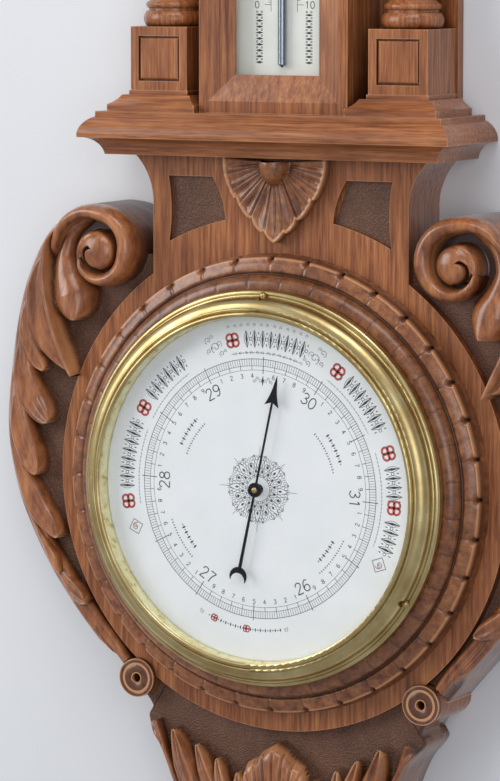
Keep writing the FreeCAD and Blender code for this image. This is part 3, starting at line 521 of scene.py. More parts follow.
def volutes():
    """Both rolled ends, each a disc of relief round its eye with a side that runs back to the wall."""
    rows = 240
    s = np.linspace(0.0, 360.0, rows)
    angle = 200.0 - s
    inner = np.interp(s, VOLUTE_TURN, VOLUTE_INNER)
    outer = np.interp(s, VOLUTE_TURN, VOLUTE_OUTER)
    smooth = np.ones(9) / 9.0
    inner = np.convolve(np.pad(inner, 4, mode="edge"), smooth, mode="valid")
    outer = np.convolve(np.pad(outer, 4, mode="edge"), smooth, mode="valid")
    radii = [np.full(rows, BUTTON * share) for share in np.linspace(0.0, 1.0, 26)]
    radii += [11.45 + (inner - 11.5) * share for share in np.linspace(0.0, 1.0, 14)]
    radii += [inner + 0.02 + (outer - inner) * (0.5 - 0.5 * math.cos(math.pi * share))
              for share in np.linspace(0.0, 1.0, 22)]
    side_depths = (24.0, 36.0, 50.0, WALL)
    last = len(radii) - 1
    columns = len(radii) + len(side_depths) + 1
    points = np.zeros((rows, columns, 3))
    hollow = np.zeros((rows, columns))
    wear_and_highlight = np.zeros_like(hollow)
    turn = np.radians(angle)
    for k, r in enumerate(radii):
        rise, comma = volute_height(s, angle, r, inner, np.maximum(outer, inner + 1.0))
        points[:, k, 0] = EYE[0] + r * np.cos(turn)
        points[:, k, 1] = GROUND - rise
        points[:, k, 2] = EYE[1] + r * np.sin(turn)
        # Painted shade in the channel and the comma cut; a pale line on the roll's inner edge, partly wear
        # and partly a painted highlight.
        channel = (r > 11.3) & (r < inner + 0.01) & (rise < 8)
        hollow[:, k] = np.clip(0.9 * channel + 0.8 * comma * (r < 12), 0, 1)
        q = np.abs(r - (inner + outer) / 2) / ((outer - inner) / 2)
        wear_and_highlight[:, k] = np.where((r > inner) & (q > 0.86) & (r < (inner + outer) / 2), 0.35, 0.0)
    # The side that runs back to the wall gets painted shade.
    for k, depth in enumerate(side_depths, last + 1):
        points[:, k, :] = points[:, last, :]
        points[:, k, 1] = np.maximum(depth, points[:, last, 1])
        hollow[:, k] = 0.45
    points[:, -1, :] = (EYE[0], WALL - 0.1, EYE[1])
    for mirror in (False, True):
        placed = points.copy()
        if mirror:
            placed[:, :, 0] *= -1
        piece = add_mesh("right_volute" if mirror else "left_volute", placed,
                         sheet_faces(rows, columns, flip=not mirror), OAK_CARVED,
                         hollow=hollow, wear_and_highlight=wear_and_highlight)
        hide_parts("right_side_carving" if mirror else "left_side_carving")


# Outer edge of the left side carving, from the neck down to the roundel
SIDE_EDGE = [(-82, 130), (-90, 130), (-99, 138), (-110, 150), (-118, 155.5), (-128, 157.5),
             (-141, 151.5), (-155, 140), (-168, 116), (-176, 88), (-181, 55), (-183.3, 28), (-181, 5),
             (-174, -21), (-160, -50), (-147, -70), (-133, -88), (-116, -107), (-104, -121)]

# Each leaf: its spine, its half widths and heights along it, and the depth of its scoop
SIDE_LEAVES = [
    ([(-136, 156), (-153, 138), (-160, 112), (-156, 84), (-136, 60)],
     [5, 8, 9.5, 10.5, 9], [12, 13, 14, 15, 16], 2.6),
    ([(-152, 140), (-166, 112), (-169, 84), (-163, 68), (-155, 58.5)],
     [4, 5, 6, 6.5, 5], [10, 11, 12, 13, 13.5], 1.6),
    ([(-164, 122), (-172, 92), (-172, 62), (-163, 40), (-151.5, 28)],
     [4, 7, 9, 9.5, 9], [9, 11, 13, 14, 16.5], 2.2),
    ([(-176, 72), (-177, 42), (-171, 18), (-160, -4)], [4, 8, 9.5, 8.5], [8, 11, 13, 15.5], 1.8),
    ([(-179, 34), (-176, 4), (-164, -20), (-145, -41)], [4, 8, 9, 7], [8, 11, 13, 15.5], 2.0),
    ([(-177, -4), (-169, -30), (-158, -47), (-145, -62)], [4, 6, 6.5, 5.5], [8, 10, 12, 13.5], 1.4),
    ([(-167, -30), (-155, -57), (-142, -70), (-127, -79)], [4, 7, 7.5, 6.5], [8, 10, 12, 14.5], 1.8),
    ([(-152, -58), (-141, -80), (-128, -97), (-112, -111)], [4, 6.5, 6.5, 6], [8, 10, 12, 14], 1.8),
]


def side_height(x, z):
    """Height of the left side carving."""
    border = [(-128, 152), (-143, 143), (-158, 126), (-170, 95), (-176.5, 60), (-178.5, 28), (-176, 3),
              (-168, -22), (-155, -48), (-142, -66), (-128, -84), (-112, -102), (-101, -117)]
    ridge = [(-128, 160), (-139, 154), (-149, 143), (-153, 128), (-153, 110), (-147, 86), (-139, 68),
             (-133, 56.5)]
    tongue = [(-124, 150), (-137, 141), (-142, 128), (-140.5, 116), (-136.5, 105), (-131.0, 90.0)]
    parts = [
        strand(x, z, border, [6.5, 6.5, 6, 6, 5.5, 5.5], [11, 10, 9.5, 9, 9, 8], 1.2, 0.4, 0.02),
        strand(x, z, ridge, [3.2, 3.6, 4.0, 4.0, 4.2, 4.4, 4.0, 3.0], [15, 15.5, 16, 16.5, 17, 18, 19, 19],
               0.0, 0.0, 0.1, 2.2),
        strand(x, z, tongue, [3, 5.5, 7.5, 11.5, 15.5, 16.5], [8, 9, 11, 14, 17, 18], 0.0, 0.0, 0.2, 2.4),
    ]
    for spine, widths, heights, scoop in SIDE_LEAVES:
        parts.append(strand(x, z, spine, widths, heights, scoop, 0.3))
    rise = np.maximum.reduce(parts)
    away = np.hypot(x - EYE[0], z - EYE[1])
    return np.where(away < 14.0, np.minimum(rise, 4.0), rise)


# Rounding of the front edge of a carved board, and the height of its rim
EDGE_ROUNDING = 2.2
RIM_HEIGHT = 7.0


def relief(name, inner, outer, height, columns, mirror, replaced):
    """Carved board between two edge lines: front relief, outer side to the wall, and a flat back."""
    rows = len(inner)
    share = np.linspace(0, 1, columns)[None, :]
    x = inner[:, 0:1] * (1 - share) + outer[:, 0:1] * share
    z = inner[:, 1:2] * (1 - share) + outer[:, 1:2] * share
    rise = height(x, z)
    reach = np.hypot(outer[:, 0:1] - x, outer[:, 1:2] - z)
    bent = EDGE_ROUNDING - np.minimum(reach, EDGE_ROUNDING)
    rounding = EDGE_ROUNDING - np.sqrt(np.clip(EDGE_ROUNDING ** 2 - bent ** 2, 0, None))
    roundel = np.hypot(np.abs(x) + ROUNDEL[0], z - ROUNDEL[1]) < ROUNDEL_ROOM
    rise = np.where(roundel, np.minimum(rise, 5.0), rise)
    rim = step(reach, 0.3, 5.5)
    edge = RIM_HEIGHT * np.where(z > 100, step(np.abs(x), 112, 124), 1.0)
    edge = edge * np.clip(step(z, -112, -100) + step(-z, 146, 156), 0, 1)
    rise = rise * rim + edge * (1 - rim)
    points = np.stack([x, GROUND - rise + rounding, z], axis=-1)
    # Painted shade on low places and in concave bends; pale convex edges on high parts, partly wear and
    # partly a painted highlight.
    hollow = step(-rise, -7.0, -1.5) * 0.85
    slope_i, slope_j = np.gradient(rise)
    bend = np.gradient(slope_i, axis=0) + np.gradient(slope_j, axis=1)
    hollow = np.clip(hollow + np.clip(bend * 0.35, 0, 0.6) * (rise > 2), 0, 1)
    wear_and_highlight = np.clip(-bend * 0.9 - 0.12, 0, 0.8) * step(rise, 6, 11)
    back = points[:, -1:, :]
    steps = []
    for depth in (0.12, 0.4, 0.7, 1.0):
        ring = back.copy()
        ring[:, :, 1] = back[:, :, 1] + (WALL - back[:, :, 1]) * depth
        steps.append(ring)
    closing = np.stack([inner[:, 0], np.full(rows, WALL), inner[:, 1]], axis=-1)
    steps.append(closing[:, None, :])
    added = len(steps)
    points = np.concatenate([points] + steps, axis=1)
    # The side and back that run to the wall get painted shade.
    hollow = np.concatenate([hollow, np.full((rows, added), 0.35)], axis=1)
    wear_and_highlight = np.concatenate([wear_and_highlight, np.zeros((rows, added))], axis=1)
    if mirror:
        points[:, :, 0] *= -1
    faces = sheet_faces(rows, columns + added, flip=mirror)
    ground = np.zeros((rows - 1, columns + added - 1), dtype=int)
    ground[:, :columns - 1] = rise[:-1, :-1] < 0.8
    piece = add_mesh(name, points, faces, [OAK_CARVED, STIPPLED], hollow=hollow, wear_and_highlight=wear_and_highlight,
                     choice=ground.ravel())
    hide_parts(replaced)


def inner_arc(outer):
    """Points on the round edge of the case, at the angles of the outer line."""
    turn = np.unwrap(np.arctan2(outer[:, 1], outer[:, 0]))
    return np.stack([BOARD_RADIUS * np.cos(turn), BOARD_RADIUS * np.sin(turn)], axis=1)


def side_carvings():
    """Both side boards; beside the neck they begin at its side in place of the round edge."""
    outer = smooth_line(SIDE_EDGE, 700)
    inner = inner_arc(outer)
    for i, place in enumerate(outer):
        if place[1] > 40 and inner[i, 0] > NECK_SIDE:
            inner[i] = place * min(1.0, NECK_SIDE / place[0])
    relief("left_leaf_carving", inner, outer, side_height, 138, False, "left_side_carving")
    relief("right_leaf_carving", inner, outer, side_height, 138, True, "right_side_carving")


# Printing on the dial: thin flat shapes just in front of its face

def clock(angle, radius):
    """Point on the dial at an angle in degrees clockwise from the top."""
    turn = math.radians(angle)
    return radius * math.sin(turn), radius * math.cos(turn)


class Print:
    """Collects flat strokes in the plane of the dial or the scale plate."""

    def __init__(self, depth):
        self.depth = depth
        self.points = []
        self.faces = []

    def fill(self, outline):
        start = len(self.points)
        self.points += [(x, self.depth, z) for x, z in outline]
        self.faces.append(tuple(range(start, start + len(outline))))

    def stroke(self, line, width, closed=False):
        line = np.asarray(line, float)
        if closed:
            before, after = np.roll(line, 1, axis=0), np.roll(line, -1, axis=0)
        else:
            before = np.vstack([line[:1], line[:-1]])
            after = np.vstack([line[1:], line[-1:]])
        way = after - before
        way = way / np.maximum(np.hypot(way[:, 0], way[:, 1]), 1e-9)[:, None]
        side = np.stack([-way[:, 1], way[:, 0]], axis=1) * width * 0.5
        start = len(self.points)
        for a, b in zip(line + side, line - side):
            self.points.append((a[0], self.depth, a[1]))
            self.points.append((b[0], self.depth, b[1]))
        count = len(line)
        for i in range(count if closed else count - 1):
            j = (i + 1) % count
            self.faces.append((start + 2 * i, start + 2 * i + 1, start + 2 * j + 1, start + 2 * j))

    def circle(self, radius, width, middle=(0.0, 0.0), count=180):
        self.stroke([(middle[0] + radius * math.sin(t), middle[1] + radius * math.cos(t))
                     for t in np.linspace(0, 2 * math.pi, count, endpoint=False)], width, True)

    def tick(self, angle, inner, outer, width):
        self.stroke([clock(angle, inner), clock(angle, outer)], width)

    def build(self, name, material):
        return add_mesh(name, self.points, self.faces, material, smooth=False)


# Strokes of the figures, in a box about 60 wide and 100 tall
FIGURES = {
    "0": [[(30, 100), (8, 85), (0, 50), (8, 15), (30, 0), (52, 15), (60, 50), (52, 85), (30, 100)]],
    "1": [[(14, 78), (34, 100)], [(34, 100), (34, 0)]],
    "2": [[(4, 74), (12, 93), (32, 100), (52, 92), (56, 72), (44, 50), (20, 24), (3, 0)],
          [(3, 0), (60, 0)]],
    "3": [[(5, 86), (28, 100), (51, 90), (52, 68), (28, 54)],
          [(28, 54), (56, 42), (57, 16), (30, 0), (3, 13)]],
    "4": [[(42, 0), (42, 100)], [(42, 100), (0, 30)], [(0, 30), (62, 30)]],
    "5": [[(54, 100), (12, 100)], [(12, 100), (8, 56)],
          [(8, 56), (32, 63), (55, 50), (57, 20), (32, 0), (3, 11)]],
    "6": [[(50, 92), (28, 98), (6, 72), (2, 34), (10, 8), (32, 0), (54, 12), (56, 36), (40, 55),
           (18, 52), (3, 34)]],
    "7": [[(2, 100), (60, 100)], [(60, 100), (34, 52), (24, 0)]],
    "8": [[(30, 54), (8, 66), (8, 90), (30, 100), (52, 90), (52, 66), (30, 54), (4, 40), (4, 12), (30, 0),
           (56, 12), (56, 40), (30, 54)]],
    "9": [[(57, 66), (42, 47), (20, 46), (4, 62), (6, 88), (28, 100), (50, 92), (58, 66), (52, 28), (32, 3),
           (10, 8)]],
}


def figure_lines(figure):
    """Strokes of one figure, with the bent ones smoothed."""
    return [smooth_line(line, 6 * len(line)) if len(line) > 2 else np.array(line, float)
            for line in FIGURES[figure]]


def write_figures(sheet, text, angle, radius, height, width, inward=False):
    """Figures set round the dial at a clock angle; inward turns their tops to the centre."""
    scale = height / 100.0
    advance = 80.0 * scale
    middle_x, middle_z = clock(angle, radius)
    way = clock(angle + 90.0, 1.0)
    up = clock(angle, 1.0)
    if inward:
        way = (-way[0], -way[1])
        up = (-up[0], -up[1])
    shift = -0.5 * (advance * (len(text) - 1) + 60.0 * scale)
    for place, figure in enumerate(text):
        for dense in figure_lines(figure):
            across = shift + place * advance + dense[:, 0] * scale
            rise = (dense[:, 1] - 50.0) * scale
            sheet.stroke(np.stack([middle_x + across * way[0] + rise * up[0],
                                   middle_z + across * way[1] + rise * up[1]], axis=1), width)


# The dial is turned a little in its case, and an inch of mercury takes a sixth of a turn
PRINT_TURN = 2.5


def scale_angle(inches):
    return PRINT_TURN + (inches - 29.5) * 60.0


def curl(sheet, angle, radius, size, hand, width, turns=1.4):
    """Small spiral flourish."""
    middle = np.array(clock(angle, radius))
    steps = np.linspace(0.12, 1.0, 26)
    turn = hand * steps * turns * 2 * math.pi + math.radians(angle)
    sheet.stroke(np.stack([middle[0] + size * steps * np.sin(turn),
                           middle[1] + size * steps * np.cos(turn)], axis=1), width)


def quatrefoil(outline, filled, angle, radius, size):
    """Four-petalled flower, drawn as a dark outline round coloured petals."""
    middle = np.array(clock(angle, radius))
    for quarter in range(4):
        turn = math.radians(angle + 45 + 90 * quarter)
        heart = middle + size * 0.55 * np.array([math.sin(turn), math.cos(turn)])
        ring = [(heart[0] + size * 0.5 * math.sin(t), heart[1] + size * 0.5 * math.cos(t))
                for t in np.linspace(0, 2 * math.pi, 20, endpoint=False)]
        filled.stroke(ring, size * 0.26, True)
        outer = [(heart[0] + size * 0.66 * math.sin(t), heart[1] + size * 0.66 * math.cos(t))
                 for t in np.linspace(turn - 1.9, turn + 1.9, 18)]
        outline.stroke(outer, 0.32)
    outline.circle(size * 0.2, 0.5, tuple(middle), 16)


def spindle(sheet, angle, inner, outer, half):
    """Slim diamond that points along the radius."""
    middle = (inner + outer) / 2
    spread = math.degrees(half / middle)
    sheet.fill([clock(angle, inner), clock(angle + spread, middle), clock(angle, outer),
                clock(angle - spread, middle)])


def ornament_band(black, red, start, end, flowers):
    """Row of generic ornaments in the outer zone: flowers, slim diamonds, beads and a fine underline."""
    pitch = 3.5
    inner, middle, outer = 81.5, 86.5, 91.5
    count = int(round((end - start) / pitch))
    for index in range(count + 1):
        angle = start + (end - start) * index / count
        if index in flowers:
            quatrefoil(black, red, angle + 0.8, middle, 4.0)
            continue
        if index - 1 in flowers:
            continue
        spindle(black, angle, inner, outer, 0.75)
        for side in (-1, 1):
            bow = [clock(angle, inner), clock(angle + side * 1.1, middle), clock(angle, outer)]
            black.stroke(smooth_line(bow, 12), 0.26)
        black.circle(0.9, 0.3, clock(angle + pitch / 2, middle), 14)
        for radius in (83.2, 89.8):
            spindle(black, angle + pitch / 2, radius - 1.0, radius + 1.0, 0.35)
    line = [clock(a, 78.6) for a in np.linspace(start - 1, end + 1, 40)]
    black.stroke(line, 0.16)
    for a in np.arange(start, end, 1.6):
        black.tick(a, 78.1, 79.1, 0.2)


def small_row(black, middle, radius, half, size):
    """Short row of small lozenges, in the place of the small print."""
    for angle in np.arange(middle - half, middle + half + 0.1, 3.4 * 55.0 / radius):
        spindle(black, angle, radius - size, radius + size, size * 0.42)
        black.circle(0.28, 0.3, clock(angle + 1.7 * 55.0 / radius, radius), 8)


def lozenge(black, red, angle, radius, size):
    """Square panel set on its point, with a curl inside."""
    spread = math.degrees(size / radius)
    corners = [clock(angle, radius - size), clock(angle + spread, radius), clock(angle, radius + size),
               clock(angle - spread, radius)]
    for a, b in zip(corners, corners[1:] + corners[:1]):
        black.stroke([a, b], 0.35)
    curl(black, angle, radius, size * 0.55, 1, 0.3)
    curl(red, angle + spread * 0.2, radius, size * 0.3, -1, 0.35)


def rosette(black):
    """Lace rosette in the middle: petals, rays, small curls and florets."""
    for radius, width in ((7.2, 0.22), (8.4, 0.14), (12.4, 0.14)):
        black.circle(radius, width)
    for index in range(36):
        black.tick(index * 10.0, 7.2, 8.4, 0.2)
    for index in range(16):
        angle = PRINT_TURN + index * 22.5
        long = index % 2 == 0
        reach = 21.5 if long else 17.5
        for side in (-1, 1):
            petal = [clock(angle, 7.6), clock(angle + side * 9.0, 11.5), clock(angle + side * 6.5, 15.0),
                     clock(angle, reach - 2.0)]
            black.stroke(smooth_line(petal, 14), 0.26)
            vine = [clock(angle, 9.5), clock(angle + side * 5.5, 12.5), clock(angle + side * 11.0, 16.2),
                    clock(angle + side * 8.0, 18.6)]
            black.stroke(smooth_line(vine, 16), 0.2)
            curl(black, angle + side * 7.2, 17.6, 1.7, side, 0.24, 1.1)
            black.tick(angle + side * 3.0, reach - 4.2, reach - 1.2, 0.2)
        spindle(black, angle, 12.6, 15.4, 0.7)
        black.tick(angle, reach - 3.0, reach + 1.6, 0.22)
        black.circle(0.55, 0.4, clock(angle + 11.25, 19.2), 10)
        spindle(black, angle + 11.25, 9.0, 11.6, 0.55)
    for index in range(8):
        black.tick(PRINT_TURN + index * 45.0, 19.0, 25.0 if index % 2 == 0 else 22.5, 0.2)


# Circles of the scale
SCALE_OUTER = 75.0
SCALE_MIDDLE = 71.0
SCALE_INNER = 68.6


def dial_printing():
    """All printing on the dial: scale with plain figures, and ornament in the place of words."""
    black = Print(-0.05)
    red = Print(-0.07)
    for radius, width in ((SCALE_OUTER, 0.3), (SCALE_MIDDLE, 0.22), (SCALE_INNER, 0.2)):
        black.circle(radius, width, count=360)
    for index in range(300):
        angle = scale_angle(26.0 + index * 0.02)
        if index % 25 == 0:
            black.tick(angle, 66.6, 76.4, 0.42)
        elif index % 5 == 0:
            black.tick(angle, SCALE_INNER, SCALE_OUTER, 0.3)
        else:
            black.tick(angle, SCALE_MIDDLE, SCALE_OUTER, 0.2)
    for tenth in range(60):
        angle = (scale_angle(26.0 + tenth / 10.0) + 180.0) % 360.0 - 180.0
        inward = abs(angle) > 93.5
        if tenth % 10 == 0:
            shift = 0.0 if inward else -1.0
            write_figures(black, str(26 + tenth // 10), angle + shift, 61.6, 6.6, 0.62, inward)
        elif tenth != 35:
            write_figures(black, str(tenth % 10), angle, 65.4, 2.5, 0.34, inward)
    for side in (-1, 1):
        for offset, radius in ((1.2, 62.4), (3.0, 63.8), (4.6, 62.2)):
            curl(black, PRINT_TURN + side * offset, radius, 1.2, side, 0.22)
    spindle(black, PRINT_TURN, 59.5, 65.8, 0.7)
    for start, end, flowers in ((-12.0, 19.0, (0,)), (-61.0, -36.0, (0,)), (35.0, 62.0, (0,)),
                                (-99.0, -68.0, (0,)), (72.0, 110.0, (0, 6))):
        ornament_band(black, red, start, end, flowers)
    for side, angle in ((-1, -19.0), (1, 25.0)):
        for shift, radius, size in ((0, 85.0, 3.4), (2.4, 90.2, 2.2), (-2.0, 80.4, 1.8), (3.4, 84.0, 1.6)):
            curl(black, angle + side * shift, radius, size, side, 0.3)
            curl(black, angle + side * (shift - 1.6), radius + 1.2, size * 0.6, -side, 0.24)
    for index in range(13):
        angle = -12.0 + index * 2.6
        curl(black, angle, 94.6, 1.0, 1 if index % 2 else -1, 0.2)
        curl(black, angle + 1.0, 78.6, 1.0, -1 if index % 2 else 1, 0.18)
    lozenge(black, red, -108.5, 85.0, 4.6)
    lozenge(black, red, 116.5, 86.0, 4.8)
    small_row(black, 187.0, 82.0, 17.0, 1.2)
    for angle in (200.5, 185.5):
        quatrefoil(black, red, angle, 82.0, 1.9)
    for side in (-1, 1):
        curl(black, 187.0 + side * 19.5, 82.0, 1.5, side, 0.25)
    for middle, radius, half, size in ((-56, 55.5, 9, 1.5), (-56, 50.0, 13, 0.9), (62, 55.5, 9, 1.5),
                                       (62, 49.5, 15, 0.9), (-123, 55.0, 8, 1.5), (-123, 60.5, 11, 0.8),
                                       (128, 55.0, 8, 1.5), (128, 60.5, 12, 0.8)):
        small_row(black, middle, radius, half, size)
    rosette(black)
    black.build("dial_printing_black", BLACK_INK)
    red.build("dial_printing_red", RED_INK)


# Polished ring between the glass and the dial, seen at the left and the bottom

def sight_ring():
    profile = [(103.0, -6.9), (100.9, -6.9), (100.4, -5.0), (99.8, -2.6), (99.4, -0.15), (103.0, -0.15)]
    turns = 180
    # The ring takes brass with the dial's reflection painted into its colour.
    piece = add_mesh("sight_ring_polished", turned(profile, turns),
                     sheet_faces(turns, len(profile), close_rows=True), PAINTED_REFLECTION_BRASS)
    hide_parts("sight_ring")


# Turned faces of the two roundels: radius, depth and how much painted shade falls there

ROUNDEL_PROFILE = [(2.8, 24.0, 0.9), (2.9, 21.9, 0.9), (3.6, 21.35, 0.2), (5.6, 21.1, 0.0), (7.4, 21.3, 0.1),
                   (8.2, 21.8, 0.8), (8.7, 21.85, 0.8), (9.4, 21.3, 0.1), (10.6, 21.3, 0.0),
                   (11.45, 21.7, 0.2), (11.6, 24.9, 0.6)]


def roundel_faces():
    turns = 64
    profile = [(r, y) for r, y, h in ROUNDEL_PROFILE]
    # The whole face is painted darker, with painted shade deepest in the hole, the groove and on the outer
    # side.
    hollow = [0.6 + 0.4 * h for r, y, h in ROUNDEL_PROFILE] * turns
    for side, name in ((-1, "left_roundel"), (1, "right_roundel")):
        add_mesh(name, turned(profile, turns, (-side * ROUNDEL[0], ROUNDEL[1])),
                 sheet_faces(turns, len(profile), close_rows=True), OAK_RING,
                 hollow=hollow, wear_and_highlight=[0.0] * len(hollow))


# Raised fields in the sunk panels of the pedestals

PEDESTAL_X = 77.0
PEDESTAL_Z = 244.5


def pedestal_fields():
    rings = ((12.6, 24.15), (12.4, 22.4), (11.8, 22.0), (11.0, 21.95))
    corners = ((-1, -1), (1, -1), (1, 1), (-1, 1))
    faces = [(4 * k + j, 4 * k + (j + 1) % 4, 4 * k + 4 + (j + 1) % 4, 4 * k + 4 + j)
             for k in range(3) for j in range(4)]
    faces.append((12, 13, 14, 15))
    for side, name in ((-1, "left_pedestal_field"), (1, "right_pedestal_field")):
        points = [(side * PEDESTAL_X + x * half, y, PEDESTAL_Z + z * (half - 0.55))
                  for half, y in rings for x, z in corners]
        add_mesh(name, points, faces, OAK, smooth=False)


# Scale of the thermometer: two rows of ticks with plain figures, and ornament in place of words

def thermometer_printing():
    black = Print(31.45)
    edge = 8.5
    for side in (-1, 1):
        black.stroke([(side * edge, 272.0), (side * edge, 366.0)], 0.3)
        count = 66 if side < 0 else 37
        for index in range(count):
            z = 276.0 + index * 88.0 / (count - 1)
            reach, width = (12.5, 0.3) if index % 5 == 0 else (10.5, 0.22)
            black.stroke([(side * edge, z), (side * reach, z)], width)
            if index % 10 == 0:
                text = str(abs(index - (10 if side > 0 else 0)))
                for place, figure in enumerate(text):
                    start = side * 17.0 + (place - len(text) / 2.0) * 3.4
                    for dense in figure_lines(figure):
                        line = np.stack([start + dense[:, 0] * 0.04, z - 2.0 + dense[:, 1] * 0.04], axis=1)
                        black.stroke(line, 0.45)
        for index in range(9):
            z = 243.0 + index * 3.4
            middle = side * 16.0
            black.fill([(middle - 2.6, z), (middle, z + 0.75), (middle + 2.6, z), (middle, z - 0.75)])
            for shift in (-1.5, 1.5):
                black.circle(0.5, 0.34, (middle + shift, z + 1.7), 10)
    black.build("thermometer_printing", BLACK_INK)


# Ring moulding: smooth inner roll, then a row of long petals parted by small pits

PETALS = 36
PETAL_START = 123.0
PETAL_LENGTH = 9.2
PETAL_HALF = 11.5


def ring_moulding():
    """Columns run outward by radius, depth and kind: roll 1, groove 2, petals 3, rim 4 and 5."""
    turns = PETALS * 24
    angles = np.linspace(0, 2 * math.pi, turns, endpoint=False)
    u = np.mod(np.degrees(angles) / (360.0 / PETALS), 1.0) * 2.0 - 1.0
    to_gap = (1.0 - np.abs(u)) * PETAL_HALF
    columns = [(105.5, 5.3, 0), (115.4, 5.3, 0)]
    for share in np.linspace(0, 1, 9):
        swing = share * math.pi / 2
        columns.append((115.8 + 6.6 * math.sin(swing), 11.0 - 5.7 * math.cos(swing), 1))
    columns.append((122.5, 12.6, 2))
    for share in np.linspace(0, 1, 15):
        columns.append((PETAL_START + PETAL_LENGTH * share, 0.0, 3))
    columns += [(132.4, 18.0, 4), (132.5, 20.5, 4), (132.7, 22.8, 5), (133.9, 24.9, 5)]
    count = len(columns)
    points = np.zeros((turns, count, 3))
    hollow = np.zeros((turns, count))
    wear_and_highlight = np.zeros((turns, count))
    # Colour: the roll is painted a little darker all round, with painted shade in its seams, in the groove,
    # at the roots, gaps and pits of the petals and on the outer rim.
    for k, (radius, depth, kind) in enumerate(columns):
        reach = np.full(turns, radius)
        deep = np.full(turns, depth)
        if kind == 1:
            seam = np.exp(-u ** 2 / 0.0009)
            deep = deep + 0.25 * seam
            hollow[:, k] = 0.25 + 0.45 * seam
        if kind == 2:
            hollow[:, k] = 0.95
        if kind == 3:
            v = (radius - PETAL_START) / PETAL_LENGTH
            pit = np.exp(-(to_gap ** 2 + ((v - 0.96) * PETAL_LENGTH) ** 2) / 2.6)
            gap = np.exp(-(to_gap / 0.45) ** 2)
            root = np.exp(-(v / 0.10) ** 2)
            crown = 13.2 - 3.2 * v ** 2 - 1.4 * root
            rim = 0.5 * np.exp(-((v - 0.94) / 0.07) ** 2) * (1 - step(np.abs(u), 0.84, 0.95))
            deep = BAND - crown - rim + 0.7 * gap * (v > 0.1) + 5.0 * pit
            hollow[:, k] = np.clip(0.1 + 0.6 * root + 0.3 * gap + pit, 0, 1)
            # Pale line at the petal ends: partly wear, partly a painted highlight.
            rubbed_and_highlit = 0.95 * np.exp(-((v - 0.96) / 0.06) ** 2)
            wear_and_highlight[:, k] = np.clip(rubbed_and_highlit * (1 - step(np.abs(u), 0.80, 0.92)), 0, 1)
        if kind in (4, 5):
            pit = np.exp(-(to_gap / 1.5) ** 2)
            reach = reach - (1.4 * pit if kind == 4 else 0.4 * pit)
            hollow[:, k] = 0.6 if kind == 4 else 0.35
        points[:, k, 0] = reach * np.sin(angles)
        points[:, k, 1] = deep
        points[:, k, 2] = reach * np.cos(angles)
    piece = add_mesh("ring_moulding", points, sheet_faces(turns, count, close_rows=True), OAK_RING,
                     hollow=hollow, wear_and_highlight=wear_and_highlight)
    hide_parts("dial_ring_moulding")


# Neck shell: scalloped shield with radiating flutes and a boss

SHELL_EDGE = [(33.0, 188.9), (33.0, 184.0), (32.2, 179.0), (30.6, 174.0), (28.0, 168.5), (25.8, 165.2),
              (24.4, 166.0), (23.0, 162.0), (20.4, 158.0), (17.6, 154.8), (15.4, 153.6), (14.2, 154.4),
              (13.0, 150.6), (10.6, 147.6), (8.0, 145.8), (6.4, 146.4), (3.4, 142.4), (0.0, 139.9)]
SHELL_HEART = (0.0, 186.5)
FLUTE_TURN = 17.0


def neck_shell():
    right = []
    for a, b in zip(SHELL_EDGE, SHELL_EDGE[1:]):
        for share in (0.0, 0.25, 0.5, 0.75):
            right.append((a[0] + (b[0] - a[0]) * share, a[1] + (b[1] - a[1]) * share))
    edge = np.array(right + SHELL_EDGE[-1:] + [(-x, z) for x, z in reversed(right)])
    heart = np.array(SHELL_HEART)
    shares = np.concatenate([np.linspace(0.0, 0.94, 34), [0.97, 1.0]])
    count, front = len(edge), len(shares)
    points = np.zeros((count, front + 2, 3))
    hollow = np.zeros((count, front + 2))
    wear_and_highlight = np.zeros_like(hollow)
    for k, share in enumerate(shares):
        place = heart + (edge - heart) * share
        away = np.hypot(place[:, 0] - heart[0], place[:, 1] - heart[1])
        turn = np.degrees(np.arctan2(place[:, 0], heart[1] - place[:, 1]))
        phase = turn / FLUTE_TURN + 0.5
        arc = math.radians(FLUTE_TURN) * away
        fade = step(away, 9.0, 13.0)
        groove = np.exp(-(np.abs(phase - np.round(phase)) * arc / 0.5) ** 2) * fade
        fine = np.exp(-(np.abs(phase * 2 - np.round(phase * 2)) * arc / 2 / 0.3) ** 2)
        groove = np.maximum(groove, 0.55 * fine * fade * step(away, 18.0, 24.0) * (share < 0.86))
        swell = np.abs(np.cos(np.pi * phase)) if share < 0.97 else 0.6
        lip = 0.5 if share > 0.95 else 0.0
        rise = 4.6 + 1.0 * share ** 2 + 1.4 * swell * fade - 1.2 * groove * (share < 0.99) + lip
        boss = np.clip(1.0 - (place[:, 0] / 8.6) ** 2 - ((place[:, 1] - 185.0) / 11.5) ** 2, 0.0, 1.0)
        boss = np.sqrt(boss)
        rise = np.where(boss > 0.05, 6.0 + 9.0 * boss, rise)
        # Painted shade in the flutes and round the foot of the boss; the lip gets a pale line, partly wear
        # and partly a painted highlight.
        hollow[:, k] = np.clip(0.05 + 0.7 * groove + (0.3 if share < 0.3 else 0.0) * (boss < 0.1), 0, 1)
        hollow[:, k] = np.where(boss > 0.3, 0.05, hollow[:, k])
        wear_and_highlight[:, k] = 0.85 if share > 0.955 else 0.0
        points[:, k, 0] = place[:, 0]
        points[:, k, 1] = BAND - rise
        points[:, k, 2] = place[:, 1]
    # The sides get painted shade, with a pale band at their front edge, partly wear and partly a painted
    # highlight.
    for k, depth, rubbed_and_highlit in ((front, 20.5, 0.5), (front + 1, BAND, 0.0)):
        points[:, k, :] = points[:, front - 1, :]
        points[:, k, 1] = depth
        hollow[:, k] = 0.5
        wear_and_highlight[:, k] = rubbed_and_highlit
    piece = add_mesh("shell_carving", points, sheet_faces(count, front + 2), OAK_RING,
                     hollow=hollow, wear_and_highlight=wear_and_highlight)
    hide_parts("neck_shell")


# Punched ground of the two sunk panels beside the shell

